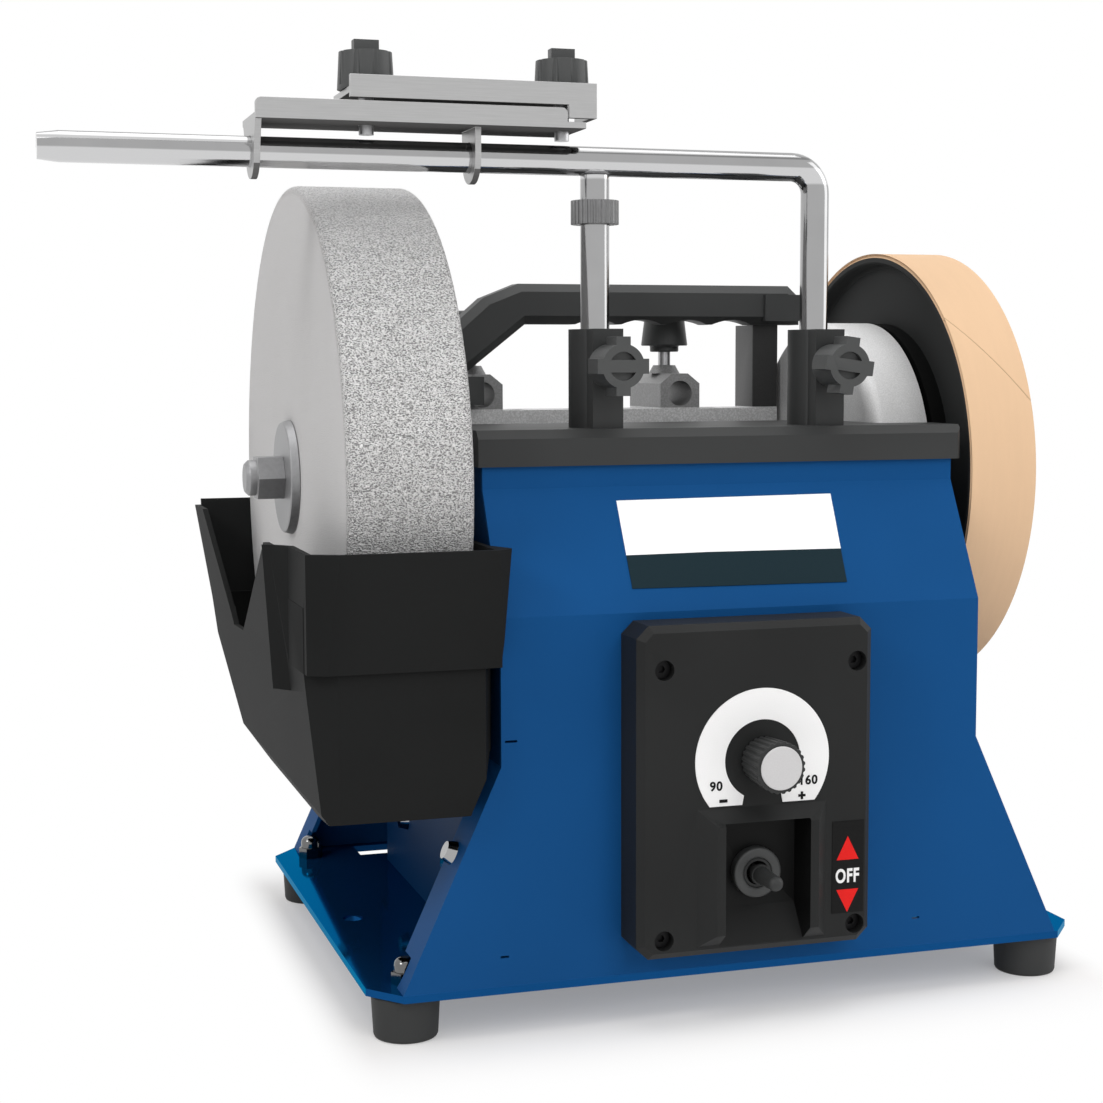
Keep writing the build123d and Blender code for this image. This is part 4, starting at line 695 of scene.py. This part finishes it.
def shaded(piece, amount):
    """Store how much painted shade each face takes: amount is a function of the face's middle and
    normal.
    """
    mesh = piece.data
    dim = mesh.attributes.new("dim", "FLOAT", "FACE")
    dim.data.foreach_set("value", [amount(face.center, face.normal) for face in mesh.polygons])


def rim_arc(edge, inward, outer, radius, turns):
    """Points of a rounded rim, from the flat side at the edge up to the tread."""
    return [
        (edge + inward * radius * (1 - math.cos(t)), outer - radius * (1 - math.sin(t))) for t in turns
    ]


def revolved(node, name, outline, angles, carve=0.0, start=0.0, lean=0.0):
    """A closed outline of (x, radius) points turned about the shaft; it stands for a solid.

    Row i, column j of the grid is the outline's point i at the angle j, counted from the top
    towards the front, turned on by start and by lean times the point's own x; carve takes
    material off the radius there.
    """
    x, radius = np.array(outline, float).T
    turn = start + np.asarray(angles)[None, :] + lean * (x - x.min())[:, None]
    rows, columns = turn.shape
    reach = radius[:, None] - carve
    across = np.broadcast_to(x[:, None], turn.shape)
    points = np.stack([across, SHAFT_Y - reach * np.sin(turn), SHAFT_Z + reach * np.cos(turn)], -1)
    index = np.arange(rows * columns).reshape(rows, columns)
    below, beside = np.roll(index, -1, 0), np.roll(index, -1, 1)
    quads = np.stack([index, beside, np.roll(below, -1, 1), below], -1).reshape(-1, 4)
    mesh = bpy.data.meshes.new(name)
    mesh.from_pydata(points.reshape(-1, 3), [], quads.tolist())
    left = np.asarray(angles) / (2 * math.pi)
    right = np.append(left[1:], 1.0)
    level = np.linspace(0, 1, rows + 1)
    u = np.stack([left, right, right, left], -1)[None].repeat(rows, 0)
    v = np.stack([level[:-1], level[:-1], level[1:], level[1:]], -1)[:, None].repeat(columns, 1)
    mesh.uv_layers.new(name="UVMap").data.foreach_set("uv", np.stack([u, v], -1).ravel())
    smooth(mesh, REVOLVED_ANGLE)
    mesh.update()
    return stand_in(node, name, mesh)


def rolled_relief(rows, columns, step, grain, band, seed):
    """Even random hollows on a grid that closes on itself: noise filtered down to one grain size."""
    noise = np.random.default_rng(seed).standard_normal((rows, columns))
    across, along = np.fft.fftfreq(rows, step)[:, None], np.fft.fftfreq(columns, step)[None, :]
    waves = np.hypot(across, along) * grain
    field = np.fft.ifft2(np.fft.fft2(noise) * np.exp(-((waves - 1.0) ** 2) / band)).real
    return field / field.std()


def prism(name, low, high, material, uv=None):
    """A thin closed print between two outlines, counter-clockwise seen from the high one."""
    count = len(low)
    corners = range(count)
    walls = [(i, (i + 1) % count, (i + 1) % count + count, i + count) for i in corners]
    faces = [tuple(corners)[::-1], tuple(range(count, 2 * count)), *walls]
    mesh = bpy.data.meshes.new(name)
    mesh.from_pydata([*low, *high], [], faces)
    if uv:
        flat = [value for loop in mesh.loops for value in uv[loop.vertex_index % count]]
        mesh.uv_layers.new(name="UVMap").data.foreach_set("uv", flat)
    mesh.update()
    return print_piece(name, mesh, material)


def tile(name, points, face_y, thickness, material):
    """A flat outline of (x, z) points, counter-clockwise from the front, raised off a front face."""
    low = [(x, face_y, z) for x, z in points]
    high = [(x, face_y - thickness, z) for x, z in points]
    return prism(name, low, high, material)


def bar(name, spot, half, face_y, material):
    """A small raised oblong of print about a spot."""
    signs = ((-1, -1), (1, -1), (1, 1), (-1, 1))
    points = [(spot[0] + half[0] * i, spot[1] + half[1] * k) for i, k in signs]
    return tile(name, points, face_y, PRINT_THICKNESS, material)


def word(name, text, size, spot, face_y, material, squeeze=1.0):
    """Plain numerals or a switch word as a thin upright mesh about a spot of a front face."""
    curve = bpy.data.curves.new(name, "FONT")
    curve.body = text
    curve.size = size
    curve.align_x = "CENTER"
    curve.align_y = "CENTER"
    curve.extrude = PRINT_THICKNESS / 2
    curve.offset = size * 0.03
    curve.space_character = 1.1
    curve.resolution_u = 4
    source = bpy.data.objects.new(name + "_curve", curve)
    bpy.context.scene.collection.objects.link(source)
    bpy.context.view_layer.update()
    drawn = source.evaluated_get(bpy.context.evaluated_depsgraph_get())
    mesh = bpy.data.meshes.new_from_object(drawn)
    bpy.data.objects.remove(source)
    bpy.data.curves.remove(curve)
    upright = Matrix(((1, 0, 0), (0, 0, -1), (0, 1, 0))).to_4x4()
    place = Matrix.Translation((spot[0], face_y, spot[1]))
    mesh.transform(place @ upright @ Matrix.Scale(squeeze, 4, (1, 0, 0)))
    mesh.name = name
    return print_piece(name, mesh, material)


def from_axis(x, y, z):
    """A point given in millimetres from the stone's left face and the shaft, in the part's frame."""
    return (STONE_LOW.x + x / 1000, SHAFT_Y + y / 1000, SHAFT_Z + z / 1000)


def front_spot(x, z):
    """The x and z of a point on a front face, from millimetres."""
    return from_axis(x, 0, z)[::2]


def colour_setting(name, description, default):
    """A colour of the look settings."""
    return FloatVectorProperty(
        name=name, description=description, subtype="COLOR", size=3, default=default
    )


def power_setting(name, description, default):
    """A lamp's power in the stage settings."""
    return FloatProperty(name=name, description=description, unit="POWER", default=default)


class SharpenerLook(bpy.types.PropertyGroup):
    """Colours and edge radius of the machine."""

    blue: colour_setting("Blue", "Powder coat of the sheet housing", (0.006, 0.067, 0.212))
    black: colour_setting("Black", "Black mouldings", (0.028, 0.029, 0.029))
    stone: colour_setting("Stone", "Grindstone", (0.6, 0.595, 0.595))
    leather: colour_setting("Leather", "Strop of the honing wheel", (0.69, 0.472, 0.298))
    edge: FloatProperty(
        name="Edge radius",
        description="Rounding of the moulded edges",
        subtype="DISTANCE",
        unit="LENGTH",
        default=0.0007,
        min=0.0,
    )


class SharpenerStage(bpy.types.PropertyGroup):
    """Light levels of the studio."""

    key: power_setting("Key", "Power of the front softbox", 15.5)
    top: power_setting("Top", "Power of the overhead softbox", 18.5)
    side: power_setting("Side", "Power of the right softbox", 6.0)
    left: power_setting("Left", "Power of the left softbox", 9.0)
    ambient: FloatProperty(name="Ambient", description="Light of the surroundings", default=0.4)


class SHARPENER_OT_housing(bpy.types.Operator):
    """Dress the sheet housing with its screws, feet and cap nuts"""

    bl_idname = "sharpener.housing"
    bl_label = "Housing"

    def execute(self, context):
        dress("front_panel", "rear_panel", "right_side_panel", "base_plate", "left_side_panel")
        softened("feet")
        dress("foot_nuts", "panel_screws", "trough_hanger", "cable_gland")
        return {"FINISHED"}


class SHARPENER_OT_cover(bpy.types.Operator):
    """Dress the top cover, the handle and the clamp knobs"""

    bl_idname = "sharpener.cover"
    bl_label = "Cover and handle"

    def execute(self, context):
        softened("top_cover")
        softened("handle")
        for node in ("left_star_knob", "right_star_knob", "left_rear_knob", "right_rear_knob"):
            softened(node)
        dress("handle_screws", "left_rear_stud", "right_rear_stud")
        return {"FINISHED"}


class SHARPENER_OT_casting(bpy.types.Operator):
    """Dress the rear sleeve casting"""

    bl_idname = "sharpener.casting"
    bl_label = "Rear casting"

    def execute(self, context):
        softened("rear_sleeve_casting")
        dress("casting_screws")
        return {"FINISHED"}


class SHARPENER_OT_spindle(bpy.types.Operator):
    """Dress the grindstone, its flanges and nut, and the shaft"""

    bl_idname = "sharpener.spindle"
    bl_label = "Grindstone and shaft"

    def execute(self, context):
        self.stone()
        for node in ("stone_inner_flange", "stone_outer_flange", "stone_lock_nut"):
            softened(node)
        dress("main_shaft", "shaft_bushes")
        return {"FINISHED"}

    def stone(self):
        """Grindstone with rounded rims and a rolled tread: random hollows up to 0.3 mm deep."""
        left, right = STONE_LOW.x, STONE_HIGH.x
        outer = (STONE_HIGH.z - STONE_LOW.z) / 2
        bend = np.linspace(0, math.pi / 2, 5)[:-1]
        tread = np.linspace(left + STONE_RIM, right - STONE_RIM, TREAD_ROWS)
        outline = [(left, r) for r in (SHAFT_BORE, 0.03, 0.06, 0.09)]
        first = len(outline) + 1
        outline += rim_arc(left, 1, outer, STONE_RIM, bend)
        outline += [(x, outer) for x in tread]
        outline += rim_arc(right, -1, outer, STONE_RIM, bend[::-1])
        rows = len(outline) - 1 - first
        outline += [(right, r) for r in (0.08, 0.04, SHAFT_BORE)]
        angles = np.linspace(0, 2 * math.pi, TREAD_COLUMNS, endpoint=False)
        carve = np.zeros((len(outline), TREAD_COLUMNS))
        relief = rolled_relief(rows, TREAD_COLUMNS, GRAIN_STEP, GRAIN_SIZE, band=0.18, seed=7)
        hollows = np.clip(HOLLOW_MIDDLE + HOLLOW_SPREAD * relief, 0.0, HOLLOW_LIMIT)
        carve[first : first + rows] = hollows
        revolved("grindstone", "grindstone_rolled", outline, angles, carve)


class SHARPENER_OT_honing(bpy.types.Operator):
    """Dress the drive drum, the honing wheel and its leather"""

    bl_idname = "sharpener.honing"
    bl_label = "Honing wheel"

    def execute(self, context):
        dress("drive_drum")
        self.wheel()
        self.strop()
        softened("honing_knob")
        return {"FINISHED"}

    def wheel(self):
        """Honing wheel: rim, dished web and wide boss on the left, an open hub on the right."""
        low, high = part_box("honing_wheel")
        left, right, outer = low.x, high.x, (high.z - low.z) / 2
        dish, web, rim = left + WHEEL_DISH, left + WHEEL_WEB, outer - WHEEL_RIM
        curl = ((dish, 0.005), (dish - 0.0015, 0.0035), (left + 0.001, 0.003), (left, 0.002))
        outline = [(left, SHAFT_BORE), (left, WHEEL_BOSS), (dish, WHEEL_BOSS)]
        outline += [(x, outer - drop) for x, drop in curl]
        outline += [(left, outer), (right, outer), (right, rim), (web, rim)]
        outline += [(web, WHEEL_HUB), (right, WHEEL_HUB), (right, SHAFT_BORE)]
        angles = np.linspace(0, 2 * math.pi, 180, endpoint=False)
        revolved("honing_wheel", "honing_wheel_dished", outline, angles)

    def strop(self):
        """Leather band with bevelled rims and a shallow slanted joint where its ends meet."""
        left, right = STROP_LOW.x, STROP_HIGH.x
        outer = (STROP_HIGH.z - STROP_LOW.z) / 2
        inner = outer - STROP_THICKNESS
        bend = np.linspace(0, math.pi / 2, 5)
        rim = [
            (left + STROP_RIM * (1 - math.sin(t)), outer - STROP_RIM * (1 - math.sin(t)))
            for t in bend
        ]
        outline = [(left, inner), *rim]
        outline += [(x, outer) for x in np.linspace(left, right, 10)[1:-1]]
        outline += [(left + right - x, r) for x, r in rim[::-1]] + [(right, inner)]
        joint = np.radians([0.0, 0.12, 0.25, 0.5])
        band = np.radians(np.linspace(1.4, 358.6, 254))
        angles = np.concatenate([joint, band, 2 * math.pi - joint[:0:-1]])
        carve = np.zeros((len(outline), len(angles)))
        near = np.abs((angles + math.pi) % (2 * math.pi) - math.pi)
        carve[1:-1] = JOINT_DEPTH * np.clip(1 - near / JOINT_HALF, 0, 1)[None, :]
        name = "leather_strop_band"
        revolved("leather_strop", name, outline, angles, carve, JOINT_START, JOINT_LEAN)


class SHARPENER_OT_drive(bpy.types.Operator):
    """Dress the motor, its bracket and the friction roller"""

    bl_idname = "sharpener.drive"
    bl_label = "Drive"

    def execute(self, context):
        dress("motor_housing", "motor_screws", "motor_shaft", "drive_roller", "motor_bracket")
        dress("pivot_pin")
        self.spring()
        return {"FINISHED"}

    def spring(self):
        """Press spring: a copy of the solid with merged facets and smooth faces, on a mesh of its own.
        """
        piece = copied("press_spring")
        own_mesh(piece)


class SHARPENER_OT_controls(bpy.types.Operator):
    """Dress the control box and add the printed scale marks and switch label"""

    bl_idname = "sharpener.controls"
    bl_label = "Controls"

    def execute(self, context):
        self.box()
        dress("control_board", "dial_ring", "potentiometer", "potentiometer_shaft")
        dress("control_box_screws")
        self.knob()
        softened("speed_knob_cap")
        dress("toggle_body")
        softened("toggle_collar")
        softened("toggle_lever")
        self.marks()
        return {"FINISHED"}

    def box(self):
        """Control box with painted shade in the pocket about the toggle, and less of it on the pocket's
        ramp.
        """
        low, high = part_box("toggle_collar")
        toggle = (low + high) / 2
        half_x, half_z = 0.0195, 0.0245
        floor_y, wall_y = BOX_FRONT + 0.0075, BOX_FRONT + 0.006

        def pocket(at, up):
            """Painted shade: 0.8 on the pocket's floor and walls, 0.4 on its ramp and 0 elsewhere."""
            near = abs(at.x - toggle.x) < half_x and abs(at.z - toggle.z) < half_z and up.y < 0.5
            deep = at.y > floor_y or (abs(up.x) > 0.9 and at.y > wall_y)
            return (0.8 if up.z < 0.3 else 0.4) * (near and deep)

        shaded(softened("control_box"), pocket)

    def knob(self):
        """Fluted speed knob: its flutes stand a little further out than the solid's, most in front."""
        low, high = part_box("speed_knob")
        middle_x, middle_z = (low.x + high.x) / 2, (low.z + high.z) / 2
        fluted, spread = 0.8 * (high.x - low.x) / 2, 0.1
        for vertex in softened("speed_knob").data.vertices:
            x, z = vertex.co.x - middle_x, vertex.co.z - middle_z
            if math.hypot(x, z) > fluted:
                grow = 1 + spread * (high.y - vertex.co.y) / (high.y - low.y)
                vertex.co.x, vertex.co.z = middle_x + x * grow, middle_z + z * grow

    def marks(self):
        """Numbers and signs of the speed scale, and the switch label with its arrows."""
        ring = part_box("dial_ring")[0].y
        face = ring + 0.0004
        ink, red, white = finish("black_print"), finish("red_print"), finish("white_print")
        for name, text, x, z in SCALE_WORDS_MM:
            word(name, text, SCALE_WORD_SIZE, front_spot(x, z), ring - 0.00004, ink)
        minus, plus, label = front_spot(*MINUS_MM), front_spot(*PLUS_MM), front_spot(*LABEL_MM)
        bar("scale_minus", minus, (0.0017, 0.00062), ring, ink)
        bar("scale_plus_level", plus, (0.00155, 0.0005), ring, ink)
        bar("scale_plus_upright", plus, (0.0005, 0.00155), ring - 0.00002, ink)
        bar("switch_label", label, (0.00695, 0.0189), face, ink)
        word("switch_off", "OFF", OFF_SIZE, front_spot(*OFF_MM), face - 0.0003, white, OFF_SQUEEZE)
        for name, tip, foot in ARROWS_MM:
            points = [front_spot(x, z) for x, z in zip(ARROW_X_MM, (foot, foot, tip))]
            tile(name, points if tip > foot else points[::-1], face - 0.0002, 0.00012, red)


class SHARPENER_OT_support(bpy.types.Operator):
    """Dress the tool support and the micro adjuster"""

    bl_idname = "sharpener.support"
    bl_label = "Tool support"

    def execute(self, context):
        dress("support_bar", "support_leg")
        softened("adjust_nut")
        return {"FINISHED"}


class SHARPENER_OT_jig(bpy.types.Operator):
    """Dress the sliding jig"""

    bl_idname = "sharpener.jig"
    bl_label = "Jig"

    def execute(self, context):
        for node in ("jig_base", "jig_clamp_plate"):
            # Faces that look down take painted shade.
            shaded(softened(node, segments=3), lambda at, up: 1.0 * (up.z < -0.5))
        softened("jig_left_knob")
        softened("jig_right_knob")
        dress("jig_left_screw", "jig_right_screw")
        return {"FINISHED"}


class SHARPENER_OT_trough(bpy.types.Operator):
    """Dress the water trough"""

    bl_idname = "sharpener.trough"
    bl_label = "Water trough"

    def execute(self, context):
        softened("water_trough", TROUGH_ANGLE)
        return {"FINISHED"}


class SHARPENER_OT_plate(bpy.types.Operator):
    """Add the bare two-band plate on the sloped front"""

    bl_idname = "sharpener.plate"
    bl_label = "Bare plate"

    def execute(self, context):
        top_y, top_z = SLOPE_TOP_MM
        spots = [from_axis(x, top_y + (z - top_z) * SLOPE, z) for x, z in PLATE_CORNERS_MM]
        low = np.array(spots)
        normal = np.cross(low[1] - low[0], low[3] - low[0])
        high = low + normal / np.linalg.norm(normal) * PLATE_THICKNESS
        uv = ((0.0, 0.0), (1.0, 0.0), (1.0, 1.0), (0.0, 1.0))
        prism("bare_plate", low, high, finish("plate_film"), uv)
        return {"FINISHED"}


class SHARPENER_OT_stage(bpy.types.Operator):
    """Build the floor, the softboxes, the surroundings and the camera"""

    bl_idname = "sharpener.stage"
    bl_label = "Stage"

    def execute(self, context):
        scene = context.scene
        self.floor(scene)
        self.lamps(scene)
        self.surroundings(scene)
        self.camera(scene)
        scene.view_settings.view_transform = "Standard"
        return {"FINISHED"}

    def floor(self, scene):
        """One large square at the height of the bench."""
        s = FLOOR_SPAN
        mesh = bpy.data.meshes.new("floor")
        mesh.from_pydata([(-s, -s, 0), (s, -s, 0), (s, s, 0), (-s, s, 0)], [], [(0, 1, 2, 3)])
        floor = bpy.data.objects.new("floor", mesh)
        scene.collection.objects.link(floor)
        mesh.materials.append(self.floor_finish())

    def floor_finish(self):
        """Pale floor that keeps the shadow near the machine and turns to plain white further out."""
        f = Finish("pale floor", Roughness=0.9, Specular_IOR_Level=0.0)
        f.set(Base_Color=(0.93, 0.912, 0.9))
        x, y, _ = f.axes()
        middle, half = (BASE_LOW + BASE_HIGH) / 2, (BASE_HIGH - BASE_LOW) / 2
        out_x = 3.2 * (abs(x - middle.x) - half.x).math("MAXIMUM", 0.0)
        out_y = 1.1 * (abs(y - middle.y) - half.y).math("MAXIMUM", 0.0)
        away = (out_x * out_x + out_y * out_y).math("SQRT")
        glow = f.node("ShaderNodeEmission", None, {0: WHITE})
        amount = (0.2 + 0.8 * away.rise(-0.015, 0.065)) * f.direct()
        f.feed(f.out.inputs[0], f.blend(amount, f.surface, glow))
        return f.material

    def lamps(self, scene):
        """Four softboxes; the front one isn't mirrored in the machine."""
        for name, place, size in LAMPS:
            lamp = bpy.data.lights.new(name + " softbox", "AREA")
            lamp.shape = "RECTANGLE"
            lamp.size, lamp.size_y = size
            lamp.energy = getattr(scene.sharpener_stage, name)
            holder = bpy.data.objects.new(name + " softbox", lamp)
            holder.visible_glossy = name != "key"
            holder.location = place
            holder.rotation_euler = (AIM - Vector(place)).to_track_quat("-Z", "Y").to_euler()
            scene.collection.objects.link(holder)

    def surroundings(self, scene):
        """White to the camera and to reflections, a lower even light for everything else."""
        world = bpy.data.worlds.new("studio")
        scene.world = world
        world.use_nodes = True
        g = Graph(world.node_tree)
        felt = g.node("ShaderNodeBackground", None, {0: WHITE, 1: scene.sharpener_stage.ambient})
        seen = g.node("ShaderNodeBackground", None, {0: WHITE, 1: 1.0})
        g.make("ShaderNodeOutputWorld", None, {0: g.blend(g.direct(), felt, seen)})

    def camera(self, scene):
        """Camera at the photograph's place: a turn to the right, a little down, a very slight roll."""
        yaw, pitch, roll = map(math.radians, (CAMERA_YAW, CAMERA_PITCH, CAMERA_ROLL))
        level = math.cos(pitch)
        along = Vector((math.sin(yaw) * level, math.cos(yaw) * level, -math.sin(pitch)))
        right = Vector((math.cos(yaw), -math.sin(yaw), 0.0))
        up = right.cross(along)
        right, up = (
            math.cos(roll) * right + math.sin(roll) * up,
            -math.sin(roll) * right + math.cos(roll) * up,
        )
        lens = bpy.data.cameras.new("camera")
        lens.sensor_width = SENSOR_WIDTH
        lens.lens = SENSOR_WIDTH * FOCAL_PIXELS / PHOTO_PIXELS
        lens.clip_start, lens.clip_end = 0.05, 50.0
        holder = bpy.data.objects.new("camera", lens)
        turn = Matrix((right, up, -along)).transposed().to_4x4()
        holder.matrix_world = Matrix.Translation(from_axis(*CAMERA_MM)) @ turn
        scene.collection.objects.link(holder)
        scene.camera = holder


PIECES = (
    SHARPENER_OT_housing,
    SHARPENER_OT_cover,
    SHARPENER_OT_casting,
    SHARPENER_OT_spindle,
    SHARPENER_OT_honing,
    SHARPENER_OT_drive,
    SHARPENER_OT_controls,
    SHARPENER_OT_support,
    SHARPENER_OT_jig,
    SHARPENER_OT_trough,
    SHARPENER_OT_plate,
    SHARPENER_OT_stage,
)


class SHARPENER_PT_panel(bpy.types.Panel):
    """Sidebar panel with the machine's settings and pieces"""

    bl_label = "Sharpener"
    bl_idname = "SHARPENER_PT_panel"
    bl_space_type = "VIEW_3D"
    bl_region_type = "UI"
    bl_category = "Sharpener"

    def draw(self, context):
        for settings in (context.scene.sharpener_look, context.scene.sharpener_stage):
            for name in settings.__annotations__:
                self.layout.prop(settings, name)
        for piece in PIECES:
            self.layout.operator(piece.bl_idname)


CLASSES = (SharpenerLook, SharpenerStage, *PIECES, SHARPENER_PT_panel)


def register():
    for cls in CLASSES:
        bpy.utils.register_class(cls)
    bpy.types.Scene.sharpener_look = PointerProperty(type=SharpenerLook)
    bpy.types.Scene.sharpener_stage = PointerProperty(type=SharpenerStage)


def unregister():
    del bpy.types.Scene.sharpener_stage
    del bpy.types.Scene.sharpener_look
    for cls in reversed(CLASSES):
        bpy.utils.unregister_class(cls)


def main():
    register()
    for piece in PIECES:
        group, call = piece.bl_idname.split(".")
        getattr(getattr(bpy.ops, group), call)()


if __name__ == "__main__":
    main()
